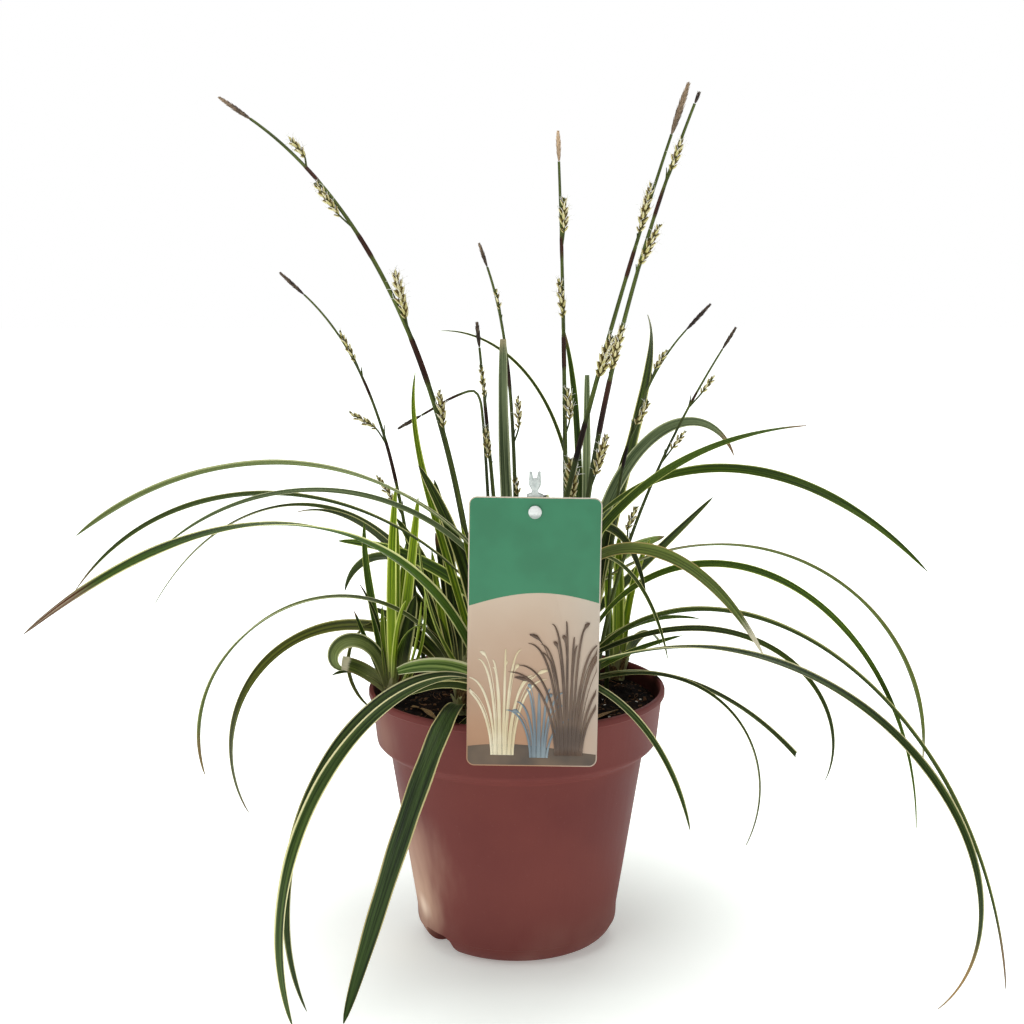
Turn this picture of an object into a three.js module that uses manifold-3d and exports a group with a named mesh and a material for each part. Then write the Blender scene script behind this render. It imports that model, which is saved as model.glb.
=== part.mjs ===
// A carex sedge in a plastic nursery pot, with its plant label.
//
// Millimetres, +Z up. The origin is the middle of the pot's foot, on the surface it stands on. The
// label hangs at the front, which faces -Y.

import * as THREE from "three";
import { mergeVertices } from "three/addons/utils/BufferGeometryUtils.js";
import Module from "manifold-3d";

const wasm = await Module();
wasm.setup();

// ---------------------------------------------------------------- driving dimensions

const FIT_GAP = 0.3;

const POT = {
  height: 123,
  rimRadius: 70,
  rimDepth: 3.2,
  lipWidth: 2.2,
  collarDepth: 29.5,
  collarTopRadius: 68.6,
  collarLowRadius: 66.4,
  bodyTopRadius: 60.3,
  footRadius: 47.4,
  footRounding: 12,
  wall: 1.4,
  floor: 2.4,
  sides: 36,
};
const NOTCHES = { count: 2, width: 20, height: 10.5, corner: 4, first: 216, reach: 22 };

const SOIL = { edge: 115, dome: 5, radius: 66, sides: 26, wave: 0.9 };

const CROWN = { radius: 4.3, above: 8, below: 7, sides: 8 };
const BLADE = { out: 2, above: 3, thickness: 1.2, groove: 0.22, facing: 38, mostSteps: 8 };
const STEM = { radius: 1.25, tipRadius: 0.6, below: 3, sides: 5, holeRadius: 2.1 };
const SPIKE = {
  sides: 6,
  valley: 0.55,
  femaleRow: 3,
  maleRow: 2,
  stalkRadius: 0.55,
  stalk: 5,
  forward: 1.2,
};

const LABEL = {
  left: -20.6,
  right: 36.6,
  low: 107,
  high: 227,
  back: -73.5,
  thickness: 0.9,
  corner: 3.5,
  roll: 0.8,
};
const PEG = { x: 7.8, z: 220.5, headRadius: 2.9, headDepth: 1.8, shankRadius: 1.3, barbRadius: 2.1 };
const STAKE = { halfWidth: 2.1, thickness: 1.6, low: 101, high: 238, lean: 4.8 };

// ---------------------------------------------------------------- materials

function look(colour, roughness, extra = {}) {
  return new THREE.MeshStandardMaterial({ color: colour, roughness, metalness: 0, ...extra });
}

const LOOKS = {
  pot: look(0x78423c, 0.55),
  soil: look(0x1d1613, 1),
  leaf: look(0x4c6a33, 0.6),
  stem: look(0x56682f, 0.6),
  spike: look(0x8a6350, 0.9),
  card: look(0xd9d6cc, 0.45),
  clear: look(0xe6ecea, 0.2, { transparent: true, opacity: 0.6 }),
  peg: look(0xf1f3f2, 0.3),
};

// ---------------------------------------------------------------- solids

const radians = THREE.MathUtils.degToRad;

function solidOf(geometry) {
  const bare = geometry.index ? geometry.toNonIndexed() : geometry.clone();
  bare.deleteAttribute("normal");
  bare.deleteAttribute("uv");
  const merged = mergeVertices(bare, 1e-3);
  const corners = merged.index.array;
  const triangles = [];
  for (let i = 0; i < corners.length; i += 3) {
    const [a, b, c] = corners.slice(i, i + 3);
    if (a !== b && b !== c && c !== a) {
      triangles.push(a, b, c);
    }
  }
  return new wasm.Manifold(
    new wasm.Mesh({
      numProp: 3,
      vertProperties: new Float32Array(merged.attributes.position.array),
      triVerts: new Uint32Array(triangles),
    }),
  );
}

function geometryOf(solid) {
  const mesh = solid.getMesh();
  const geometry = new THREE.BufferGeometry();
  geometry.setAttribute("position", new THREE.BufferAttribute(new Float32Array(mesh.vertProperties), 3));
  geometry.setIndex(new THREE.BufferAttribute(new Uint32Array(mesh.triVerts), 1));
  return geometry;
}

function joined(solids) {
  return solids.reduce((whole, solid) => whole.add(solid));
}

const part = new THREE.Group();

function place(name, solid, material) {
  const mesh = new THREE.Mesh(geometryOf(solid), material);
  mesh.name = name;
  part.add(mesh);
}

// A round solid about Z from an outline of [radius, height] points, bottom first.
function turned(outline, sides) {
  const profile = outline.map(([radius, height]) => new THREE.Vector2(radius, height));
  return new THREE.LatheGeometry(profile, sides).rotateX(Math.PI / 2);
}

// ---------------------------------------------------------------- sweeps

// Stations along an arching blade or stem that starts at `from`. Its elevation goes from `rise` to
// `fall` degrees as t to the power `bend`, and its heading turns by `sway` degrees on the way. The
// stations lie closer together where it bends more.
function arch({ from, heading, length, rise, fall, bend, sway }, steps) {
  const frameAt = (t) => {
    const elevation = radians(rise + (fall - rise) * t ** bend);
    const azimuth = radians(heading + sway * t);
    const forward = new THREE.Vector3(Math.cos(azimuth), Math.sin(azimuth), 0);
    const tangent = forward.multiplyScalar(Math.cos(elevation)).setZ(Math.sin(elevation));
    const side = new THREE.Vector3(-Math.sin(azimuth), Math.cos(azimuth), 0);
    return { tangent, side, up: new THREE.Vector3().crossVectors(tangent, side) };
  };
  const substeps = 8;
  const point = from.clone();
  const stations = [{ t: 0, point: point.clone(), ...frameAt(0) }];
  for (let i = 1; i <= steps; i += 1) {
    const before = stations.at(-1).t;
    const t = 0.5 * (i / steps) + 0.5 * (i / steps) ** (1 / bend);
    const hop = (t - before) / substeps;
    for (let k = 0; k < substeps; k += 1) {
      point.addScaledVector(frameAt(before + (k + 0.5) * hop).tangent, length * hop);
    }
    stations.push({ t, point: point.clone(), ...frameAt(t) });
  }
  return stations;
}

// Stations along a curve through hand-placed points.
function follow(points, steps) {
  const curve = new THREE.CatmullRomCurve3(points, false, "centripetal");
  const { tangents, normals, binormals } = curve.computeFrenetFrames(steps);
  return tangents.map((tangent, i) => ({
    t: i / steps,
    point: curve.getPointAt(i / steps),
    tangent,
    side: binormals[i],
    up: normals[i].negate(),
  }));
}

function pointAt(stations, t) {
  const i = stations.findIndex((station, k) => k > 0 && station.t >= t - 1e-9);
  const [before, after] = [stations[i - 1], stations[i]];
  return before.point.clone().lerp(after.point, (t - before.t) / (after.t - before.t));
}

// A closed solid with a ring of corners at every station. `corner` gives how far to the side and how
// far up each corner lies from the station's point.
function sweep(stations, sides, corner) {
  const geometry = new THREE.CylinderGeometry(1, 1, 1, sides, stations.length - 1);
  const positions = geometry.attributes.position;
  const vertex = new THREE.Vector3();
  for (let i = 0; i < positions.count; i += 1) {
    vertex.fromBufferAttribute(positions, i);
    const station = stations[Math.round((vertex.y + 0.5) * (stations.length - 1))];
    const spot = station.point.clone();
    if (Math.hypot(vertex.x, vertex.z) > 0.5) {
      const [across, above] = corner(station, Math.atan2(-vertex.x, vertex.z));
      spot.addScaledVector(station.side, across).addScaledVector(station.up, above);
    }
    positions.setXYZ(i, spot.x, spot.y, spot.z);
  }
  return solidOf(geometry);
}

function rod(stations, sides, radiusAt) {
  return sweep(stations, sides, (station, angle) => {
    const radius = radiusAt(station.t);
    return [radius * Math.sin(angle), radius * Math.cos(angle)];
  });
}

// ---------------------------------------------------------------- pot

const BODY_TOP = POT.height - POT.collarDepth;
const FOOT_TOP = POT.footRounding + 4;

// The wall's outer face above the rounded foot: [radius, height] points from the foot to the collar.
function wallFace() {
  return [
    [POT.footRadius + 0.6, FOOT_TOP],
    [POT.bodyTopRadius, BODY_TOP],
    [(POT.bodyTopRadius + POT.collarLowRadius) / 2 + 0.8, BODY_TOP + 2.6],
    [POT.collarLowRadius, BODY_TOP + 7.5],
    [POT.collarTopRadius, POT.height - POT.rimDepth - 0.6],
  ];
}

function insideRadius(height) {
  const face = wallFace();
  for (let i = 1; i < face.length; i += 1) {
    const [lowRadius, low] = face[i - 1];
    const [highRadius, high] = face[i];
    if (height <= high) {
      return lowRadius + ((highRadius - lowRadius) * (height - low)) / (high - low) - POT.wall;
    }
  }
  return POT.collarTopRadius - POT.wall;
}

function makePot() {
  const footCentre = POT.footRadius - POT.footRounding;
  const foot = [30, 62].map((turn) => [
    footCentre + POT.footRounding * Math.sin(radians(turn)),
    POT.footRounding * (1 - Math.cos(radians(turn))),
  ]);
  const lip = [
    [POT.rimRadius, POT.height - POT.rimDepth],
    [POT.rimRadius, POT.height - 0.8],
    [POT.rimRadius - 0.8, POT.height],
    [POT.rimRadius - POT.lipWidth, POT.height],
  ];
  const inside = wallFace()
    .map(([radius, height]) => [radius - POT.wall, height])
    .reverse();
  const bottom = [
    [footCentre + POT.footRounding * 0.5, POT.floor + 2.2],
    [footCentre, POT.floor],
    [0, POT.floor],
  ];
  const outside = [[0, 0], [footCentre, 0], ...foot, ...wallFace()];
  const envelope = solidOf(turned([...outside, [0, POT.height]], POT.sides));
  const outline = [...outside, ...lip, ...inside, ...bottom];
  let pot = solidOf(turned(outline, POT.sides));
  for (const heading of notchHeadings()) {
    const roof = notchBlock(heading, POT.wall).intersect(envelope);
    pot = pot.add(roof).subtract(notchBlock(heading, 0));
  }
  return pot;
}

function notchHeadings() {
  return Array.from({ length: NOTCHES.count }, (_, i) => NOTCHES.first + (i * 360) / NOTCHES.count);
}

// A bar with rounded shoulders that runs in from outside under the pot's floor. It is the room inside
// a drain notch, or with a skin round it the notch's own walls and roof.
function notchBlock(heading, skin) {
  const half = NOTCHES.width / 2 + skin;
  const height = NOTCHES.height + skin;
  const corner = NOTCHES.corner + skin;
  const below = 2;
  const section = new THREE.Shape();
  section.moveTo(-half, -below);
  section.lineTo(half, -below);
  section.lineTo(half, height - corner);
  section.quadraticCurveTo(half, height, half - corner, height);
  section.lineTo(corner - half, height);
  section.quadraticCurveTo(-half, height, -half, height - corner);
  const depth = NOTCHES.reach + skin + POT.footRounding;
  const block = new THREE.ExtrudeGeometry(section, { depth, bevelEnabled: false, curveSegments: 2 });
  block.rotateX(Math.PI / 2);
  block.rotateZ(Math.PI / 2);
  block.translate(POT.footRadius - NOTCHES.reach - skin, 0, 0);
  block.rotateZ(radians(heading));
  return solidOf(block);
}

// ---------------------------------------------------------------- soil

function soilHeight(x, y) {
  return SOIL.edge + SOIL.dome * (1 - (x * x + y * y) / SOIL.radius ** 2);
}

// Low waves over the mound, none at its edge.
function soilWave(x, y) {
  const middle = 1 - Math.min(1, Math.hypot(x, y) / SOIL.radius) ** 6;
  const waves = Math.sin(x * 0.31 + 1.3) * Math.cos(y * 0.27) + 0.5 * Math.sin(x * 0.17 - y * 0.41);
  return middle * SOIL.wave * waves;
}

// The soil fills the pot, with a plain hole for each crown and stem and a slot for the stake.
function makeSoil(holes) {
  const footCentre = POT.footRadius - POT.footRounding;
  const bottom = [
    [0, POT.floor + FIT_GAP],
    [footCentre, POT.floor + FIT_GAP],
    [footCentre + POT.footRounding * 0.5 - FIT_GAP, POT.floor + 2.2 + FIT_GAP],
  ];
  const wall = [FOOT_TOP, BODY_TOP, BODY_TOP + 2.6, BODY_TOP + 7.5, SOIL.edge].map((height) => [
    insideRadius(height) - FIT_GAP - 0.1,
    height,
  ]);
  const mound = [0.82, 0.6, 0.4, 0.2, 0].map((share) => [
    SOIL.radius * share,
    soilHeight(SOIL.radius * share, 0),
  ]);
  const body = turned([...bottom, ...wall, ...mound], SOIL.sides);
  const positions = body.attributes.position;
  for (let i = 0; i < positions.count; i += 1) {
    if (positions.getZ(i) > SOIL.edge + 0.5) {
      positions.setZ(i, positions.getZ(i) + soilWave(positions.getX(i), positions.getY(i)));
    }
  }
  return holes.reduce((soil, hole) => soil.subtract(hole), solidOf(body));
}

function roundHole(x, y, radius, depth) {
  const above = 12;
  const cutter = new THREE.CylinderGeometry(radius, radius, depth + above, CROWN.sides);
  cutter.rotateX(Math.PI / 2);
  cutter.translate(x, y, soilHeight(x, y) + (above - depth) / 2);
  return solidOf(cutter);
}

// ---------------------------------------------------------------- leaves

// Each tuft has its crown's place and its blades. A blade's row is its heading, length, rise, fall,
// bend and sway (see `arch`), its width, and where the default doesn't suit, how far its upper face
// turns about the midrib, how much more it twists by its tip, and where along its taper it is cut off.
const TUFTS = {
  left: {
    crown: [-59, 1],
    blades: [
      [195, 57, 79, -185, 2.45, 1, 8, -55],
      [192, 32, 65, -24, 1, 0, 3],
      [193, 28, 57, 15, 1, 3, 7.5, -60, 0, 0.6],
      [87, 100, 98, 54, 1.53, -3, 4.8],
      [44, 93, 79, 82, 1.05, 1, 5.4],
      [135, 82, 74, 95, 3.5, 6, 4, -50],
      [187, 43, 82, 91, 0.9, 0, 3, -60],
      [173, 38, 88, 88, 1, 0, 2.8, -60],
      [285, 58, 85, 38, 1.24, 5, 3],
      [26, 47, 81, 74, 1.14, -8, 8, 70],
      [78, 80, 80, 87, 1.25, -1, 4],
      [76, 72, 82, 68, 0.5, -2, 3.6],
      [100, 95, 60, -80, 1, -6, 5],
      [179, 43, 67, 70, 1.05, 0, 3, -50],
      [181, 55, 88, 59, 1.5, 0, 2.6, -30],
      [319, 58, 27, 96, 0.62, 6, 4, 60],
      [310, 53, 33, 86, 0.55, 7, 4, 55],
      [309, 51, 96, 6, 1.26, 1, 2.2],
    ],
  },
  inner: {
    crown: [-27, 8],
    blades: [
      [129, 270, 89, -57, 0.7, 26, 3.4],
      [140, 142, 72, -16, 1.25, 1, 4.4, -30, 20],
      [200, 199, 75, -106, 1, -3, 4.6, -50, 110],
      [160, 193, 55, -117, 0.93, 26, 6.8, -50, 20],
      [167, 112, 81, -153, 1.19, -15, 3.6, -30, 60],
      [150, 113, 89, -79, 1.65, -1, 5.6, 10, 80],
      [80, 225, 80, -80, 1, 6, 6],
      [100, 150, 55, -70, 1, 6, 5],
      [169, 65, 75, 83, 0.75, -7, 4, -55],
      [127, 72, 80, 67, 1.45, -3, 5],
      [160, 85, 84, 52, 1.1, 2, 6.5, -45],
      [141, 64, 67, 38, 1, 12, 6, -40],
      [175, 56, 64, 15, 1, -12, 5.5, -50],
      [118, 98, 86, 62, 1.2, 0, 6.6],
    ],
  },
  mid: {
    crown: [-13, -10],
    blades: [
      [235, 328, 73, -21, 0.7, 4, 6, 40, -80],
      [144, 154, 70, 102, 5, 10, 4],
      [168, 80, 89, 75, 1, 3, 4],
      [203, 85, 24, 88, 0.5, 1, 4.6],
      [160, 112, 88, 53, 1.1, -12, 7, -45],
    ],
  },
  front: {
    crown: [-5, -37],
    blades: [
      [226, 232, 89, -106, 0.5, -15, 7.6, 10, -40],
      [216, 230, 85, -114, 0.55, 10, 5],
      [227, 31, 18, -34, 1.1, -9, 3.6],
      [176, 57, 93, -19, 0.57, 7, 8.5, -20, -45, 0.95],
      [197, 47, 52, -26, 1.1, 0, 5],
      [322, 137, 89, -75, 0.55, -4, 3.6],
    ],
  },
  brim: {
    crown: [-25, -31],
    blades: [[264, 217, 53, -40, 0.32, -11, 9.5]],
  },
  centre: {
    crown: [8, -4],
    blades: [
      [194, 273, 89, -37, 0.9, 5, 8, -40, 100],
      [178, 227, 89, -40, 0.95, 11, 3.6],
      [181, 281, 74, -54, 1, -17, 3.2, -10, 120],
      [166, 125, 79, -2, 0.8, -5, 6.2, -60],
      [330, 204, 84, 7, 1, -2, 4.4, 70, 80],
      [304, 209, 89, -49, 0.94, 3, 6, 60],
      [344, 192, 36, -112, 1.8, 2, 3.6],
      [292, 364, 25, -132, 2.5, 40, 5, -10, 40],
      [167, 165, 77, 91, 0.63, 2, 6, -62, 0, 0.92],
    ],
  },
  right: {
    crown: [26, -1],
    blades: [
      [44, 200, 84, -61, 2.13, -1, 6.4, -10, 100],
      [332, 272, 87, -89, 0.85, -23, 3.4, 50, 60],
      [325, 318, 73, -83, 0.69, -13, 4.6, -30, -40],
      [20, 133, 46, -48, 0.4, -4, 6.4, -20, 60, 0.8],
      [12, 159, 20, -117, 1.1, 3, 2.4, 30, 20],
      [17, 76, 89, -13, 0.6, -2, 3.4],
      [357, 57, 75, 16, 0.25, -3, 3.4],
    ],
  },
  hind: {
    crown: [33, 18],
    blades: [
      [168, 199, 89, -3, 3.15, 4, 2.6],
      [164, 170, 89, 75, 5, 0, 4.8],
      [88, 147, 93, 84, 2, 0, 4.4, 0, 0, 0.92],
      [52, 248, 89, 9, 0.8, 40, 6.4, 10, 60],
      [30, 117, 86, 71, 1.2, 0, 5],
      [78, 150, 72, -87, 1, -4, 5.2],
      [98, 130, 50, -60, 1, 0, 5],
    ],
  },
  back: {
    crown: [8, 34],
    blades: [
      [317, 288, 93, -37, 0.81, -2, 5, 20, 60],
      [39, 138, 31, 32, 1, -2, 4.8, 55],
      [42, 108, 66, 3, 0.85, -3, 7.6, 60],
      [356, 281, 73, -94, 0.95, -3, 4.4, 20, -80],
      [321, 158, 90, -67, 1.53, -33, 4.8, 50],
      [299, 176, 82, -68, 1.22, -3, 2.6],
      [86, 265, 80, -100, 1, 2, 6],
      [104, 190, 74, -88, 0.95, -6, 5.5],
      [70, 172, 76, -70, 1, 3, 5],
    ],
  },
  far: {
    crown: [49, 33],
    blades: [
      [69, 70, 89, 92, 1, -1, 6],
      [121, 56, 77, 86, 1, 0, 3.6],
      [17, 69, 85, 62, 2.1, 0, 4.4],
      [60, 60, 50, -50, 1.1, 6, 5],
    ],
  },
};

// Width along a blade: clasping at its root, full before the middle, drawn out to the tip.
function bladeTaper(t) {
  return Math.min(1, 0.62 + 1.5 * t) * Math.sqrt(Math.max(0.004, 1 - t ** 4));
}

// A V-grooved blade: its section has two edges above a grooved midrib, and a keel under it.
function makeBlade(crown, row) {
  const [heading, length, rise, fall, bend, sway, width] = row;
  const [turn = BLADE.facing * Math.cos(radians(heading)), twist = 0, cut = 1] = row.slice(7);
  const x = crown[0] + BLADE.out * Math.cos(radians(heading));
  const y = crown[1] + BLADE.out * Math.sin(radians(heading));
  const from = new THREE.Vector3(x, y, soilHeight(x, y) + BLADE.above);
  const steps = Math.round(2.4 + Math.abs(fall - rise) / 26 + length / 90);
  const bow = { from, heading, length, rise, fall, bend, sway };
  const stations = arch(bow, Math.min(BLADE.mostSteps, steps));
  return sweep(stations, 4, ({ t }, angle) => {
    const taper = bladeTaper(t * cut);
    const lean = radians(turn + twist * t);
    const thickness = BLADE.thickness * (0.5 + 0.5 * taper);
    const across = (width / 2) * taper * Math.sin(angle);
    const edge = Math.abs(Math.sin(angle)) > 0.5;
    const ridge = thickness * (Math.cos(angle) > 0 ? 0.35 : -0.65);
    const above = edge ? (width / 2) * taper * BLADE.groove : ridge;
    return [
      across * Math.cos(lean) - above * Math.sin(lean),
      across * Math.sin(lean) + above * Math.cos(lean),
    ];
  });
}

function makeTuft({ crown, blades }) {
  const [x, y] = crown;
  const height = CROWN.above + CROWN.below;
  const clump = new THREE.CylinderGeometry(CROWN.radius * 0.7, CROWN.radius, height, CROWN.sides, 2);
  clump.rotateX(Math.PI / 2);
  clump.translate(x, y, soilHeight(x, y) - CROWN.below + height / 2);
  return joined([solidOf(clump), ...blades.map((row) => makeBlade(crown, row))]);
}

// ---------------------------------------------------------------- flowering stems

// A straight or arching stem has a root and an arch; the bent one has a root and the points that it
// passes. Its girth multiplies the usual radius. Each female spike is where along the stem it starts,
// its length, how far its start and its tip stand out to the right of the stem, and its radius. All of
// them also lie a little forward of the stem. The male spike at the tip has a length and a radius.
const STEMS = [
  {
    root: [-14, 4],
    girth: 1.4,
    arch: [154, 312, 83, 29, 1.85, -4],
    spikes: [
      [0.42, 17, 1.5, 4.2, 2.2],
      [0.595, 24, 2, 7.4, 2.8],
      [0.775, 20, -2.6, -2.2, 2],
      [0.9, 14, 4.8, 7.2, 2],
    ],
    male: [22, 1.3],
  },
  {
    root: [-43, 16],
    girth: 0.9,
    arch: [164, 204, 83, 40, 3.05, 0],
    spikes: [
      [0.47, 11, -3.4, -8.4, 1.8],
      [0.64, 7.5, -3, -12.7, 1.8],
      [0.81, 16, 0.9, 2, 1.4],
    ],
    male: [16, 1],
  },
  {
    root: [-10, 19],
    girth: 1,
    through: [
      [-10.5, 20, 159],
      [-13, 20, 199],
      [-16, 20, 247],
      [-17.5, 20, 257],
      [-20, 20, 260.5],
      [-28, 20, 258.5],
      [-45, 20, 249],
    ],
    spikes: [],
    male: [13, 1],
  },
  {
    root: [-4, 14],
    girth: 1.2,
    arch: [160, 165, 86, 84, 1, 0],
    spikes: [
      [0.69, 14, -0.6, -0.6, 1.7],
      [0.865, 14, 0.3, -0.3, 1.3],
    ],
    male: [12, 1.15],
  },
  {
    root: [1, 4],
    girth: 1.1,
    arch: [192, 204, 89, 71, 4.65, 0],
    spikes: [
      [0.48, 8, 1.4, 0, 1.7],
      [0.635, 14, 3.1, 3.3, 1.7],
      [0.905, 9, 0.6, 0.8, 1],
    ],
    male: [11.5, 0.9],
  },
  {
    root: [24, 9.5],
    girth: 1.25,
    arch: [117, 251, 89, 85, 2.1, 0],
    spikes: [
      [0.385, 17, 2.9, 2.6, 3.6],
      [0.53, 14, 2.3, 1.2, 2.1],
      [0.72, 17, 0, -1.7, 1.9],
      [0.875, 15, 1.3, 1.7, 2.2],
    ],
    male: [14, 1.15],
  },
  {
    root: [2, -14],
    girth: 1.3,
    arch: [15, 272, 79, 71, 1, 0],
    spikes: [
      [0.586, 18, 0.7, 1.5, 3.4],
      [0.835, 22, -0.3, -2, 2.2],
    ],
    male: [25, 1.65],
  },
  {
    root: [25, -12],
    girth: 1.3,
    arch: [351, 283, 89, 69, 1, 0],
    spikes: [
      [0.395, 18, 1.8, 3.6, 2.6],
      [0.57, 20, -0.5, -0.2, 2.3],
      [0.74, 18, 0.4, 3.4, 2.1],
      [0.895, 14, 0.5, 0, 2],
    ],
    male: [5, 0.9],
  },
  {
    root: [43, 11],
    girth: 0.9,
    arch: [20, 183, 89, 44, 2.85, -1],
    spikes: [
      [0.725, 11, 1.4, 2.8, 1.9],
      [0.88, 10, -1.4, -1.9, 1.7],
    ],
    male: [17.5, 1],
  },
  {
    root: [37, -5],
    girth: 0.9,
    arch: [24, 180, 89, 53, 0.7, 4],
    spikes: [
      [0.475, 11, -3, -3, 1.8],
      [0.703, 9, 2, 4, 1.5],
      [0.868, 9, 2.4, 3.6, 1.4],
    ],
    male: [12.5, 0.9],
  },
];

function stemStations({ root, arch: bow, through }) {
  const [x, y] = root;
  const from = new THREE.Vector3(x, y, soilHeight(x, y) - STEM.below);
  if (through) {
    return follow([from, ...through.map((point) => new THREE.Vector3(...point))], 14);
  }
  const [heading, length, rise, fall, bend, sway] = bow;
  const steps = 4 + Math.round(Math.abs(fall - rise) / 10);
  return arch({ from, heading, length, rise, fall, bend, sway }, steps);
}

function makeStem(stations, { arch: bow, girth, spikes }) {
  const { lerp } = THREE.MathUtils;
  const stalk = rod(stations, STEM.sides, (t) => girth * lerp(STEM.radius, STEM.tipRadius, t));
  const solids = [stalk];
  for (const spike of spikes) {
    solids.push(makeFemaleSpike(stations, bow[1], spike));
  }
  return joined(solids);
}

// A spindle set with scales: every other corner of a ring stands out, and the rings take turns.
function scalyRod(stations, radiusAt) {
  return sweep(stations, SPIKE.sides, ({ t }, angle) => {
    const ring = Math.round(t * (stations.length - 1));
    const corner = Math.round((angle * SPIKE.sides) / (2 * Math.PI));
    const radius = radiusAt(t) * (Math.abs(ring + corner) % 2 === 0 ? 1 : SPIKE.valley);
    return [radius * Math.sin(angle), radius * Math.cos(angle)];
  });
}

// A female spike: a short stalk from inside the stem, then a spindle of florets.
function makeFemaleSpike(stations, stemLength, [start, length, outStart, outTip, radius]) {
  const end = Math.min(1, start + length / stemLength);
  const joint = pointAt(stations, start - SPIKE.stalk / stemLength);
  const foot = pointAt(stations, start).add(new THREE.Vector3(outStart, -SPIKE.forward, 0));
  const tip = pointAt(stations, end).add(new THREE.Vector3(outTip, -SPIKE.forward, 0));
  const stalk = joint.distanceTo(foot);
  const whole = stalk + foot.distanceTo(tip);
  const middle = foot.clone().lerp(tip, 0.5);
  const path = follow([joint, foot, middle, tip], Math.round(whole / SPIKE.femaleRow));
  return scalyRod(path, (t) => {
    const along = (t * whole - stalk) / (whole - stalk);
    return along < 0 ? SPIKE.stalkRadius : radius * Math.sin(Math.PI * (0.16 + 0.76 * along));
  });
}

// A male spike: a spindle of scales that stands on its stem's end.
function makeMaleSpike(stations, [length, radius]) {
  const { point, tangent, side, up } = stations.at(-1);
  const rings = Math.round(length / SPIKE.maleRow);
  const spindle = Array.from({ length: rings + 1 }, (_, i) => ({
    t: i / rings,
    point: point.clone().addScaledVector(tangent, FIT_GAP + (length * i) / rings),
    side,
    up,
  }));
  return scalyRod(spindle, (t) => radius * Math.sin(Math.PI * (0.16 + 0.76 * t ** 0.85)));
}

// ---------------------------------------------------------------- plant label

// The card hangs on the peg, a little out of level.
function makeCard() {
  const { left, right, low, high, back, thickness, corner } = LABEL;
  const outline = new THREE.Shape();
  outline.moveTo(left + corner, low);
  outline.lineTo(right - corner, low);
  outline.absarc(right - corner, low + corner, corner, -Math.PI / 2, 0);
  outline.absarc(right - corner, high - corner, corner, 0, Math.PI / 2);
  outline.absarc(left + corner, high - corner, corner, Math.PI / 2, Math.PI);
  outline.absarc(left + corner, low + corner, corner, Math.PI, 1.5 * Math.PI);
  outline.holes.push(round(PEG.x, PEG.z, PEG.shankRadius + FIT_GAP));
  const card = new THREE.ExtrudeGeometry(outline, {
    depth: thickness,
    bevelEnabled: false,
    curveSegments: 5,
  });
  card.rotateX(Math.PI / 2);
  card.translate(-PEG.x, back, -PEG.z);
  card.rotateY(radians(LABEL.roll));
  card.translate(PEG.x, 0, PEG.z);
  return solidOf(card);
}

function round(x, y, radius) {
  return new THREE.Path().absarc(x, y, radius, 0, 2 * Math.PI, true);
}

// The stake stands in the soil behind the rim and leans forward to the card. It widens at the peg,
// has a bar at the card's top edge, and ends in a small two-pronged head.
function makeStake() {
  const low = STAKE.low - LABEL.high;
  const top = STAKE.high - LABEL.high;
  const half = STAKE.halfWidth;
  const bar = 3.5;
  const right = [
    [half, low + 5],
    [half, -14],
    [half + 0.7, -11],
    [half + 0.7, -2],
    [bar, -1.5],
    [bar, 1],
    [1.5, 1.6],
    [1.5, 3],
    [2.7, 5.5],
    [2.4, top],
    [1.2, top],
    [0.8, top - 3],
  ];
  const left = right.map(([across, up]) => [-across, up]).reverse();
  const points = [[0, low], ...right, ...left].map(([across, up]) => new THREE.Vector2(across, up));
  const outline = new THREE.Shape(points);
  outline.holes.push(round(0, PEG.z - LABEL.high, PEG.shankRadius + FIT_GAP));
  const stake = new THREE.ExtrudeGeometry(outline, {
    depth: STAKE.thickness,
    bevelEnabled: false,
    curveSegments: 5,
  });
  stake.rotateX(Math.PI / 2);
  stake.rotateX(radians(STAKE.lean));
  stake.translate(PEG.x, LABEL.back + FIT_GAP + STAKE.thickness, LABEL.high);
  return solidOf(stake);
}

// A round button with a shank through the card and the stake, and a barb behind them.
function makePeg() {
  const front = LABEL.back - LABEL.thickness - FIT_GAP;
  const shankEnd = LABEL.back + STAKE.thickness + 1.7;
  const outline = [
    [0, front - PEG.headDepth],
    [PEG.headRadius * 0.7, front - PEG.headDepth],
    [PEG.headRadius, front - PEG.headDepth * 0.5],
    [PEG.headRadius, front],
    [PEG.shankRadius, front],
    [PEG.shankRadius, shankEnd],
    [PEG.barbRadius, shankEnd],
    [PEG.shankRadius * 0.7, shankEnd + 1.2],
    [0, shankEnd + 1.2],
  ];
  const peg = turned(outline, 12);
  peg.rotateX(-Math.PI / 2);
  peg.translate(PEG.x, 0, PEG.z);
  return solidOf(peg);
}

// The slot for the stake's foot, wider than the foot all round.
function stakeSlot() {
  const slack = 0.5;
  const slot = new THREE.BoxGeometry(2 * (STAKE.halfWidth + slack), STAKE.thickness + 2 * slack, 40);
  slot.translate(0, 0, 20 - slack);
  slot.rotateX(radians(STAKE.lean));
  const drop = (LABEL.high - STAKE.low) * Math.tan(radians(STAKE.lean));
  slot.translate(PEG.x, LABEL.back + FIT_GAP + STAKE.thickness / 2 + drop, STAKE.low);
  return solidOf(slot);
}

// ---------------------------------------------------------------- assembly

const crownHoles = Object.values(TUFTS).map(({ crown: [x, y] }) =>
  roundHole(x, y, CROWN.radius + FIT_GAP + 0.1, CROWN.below + FIT_GAP),
);
const stemHoles = STEMS.map(({ root: [x, y], girth }) =>
  roundHole(x, y, STEM.holeRadius * girth, STEM.below + FIT_GAP),
);
const notchRooms = notchHeadings().map((heading) => notchBlock(heading, POT.wall + FIT_GAP));

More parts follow.
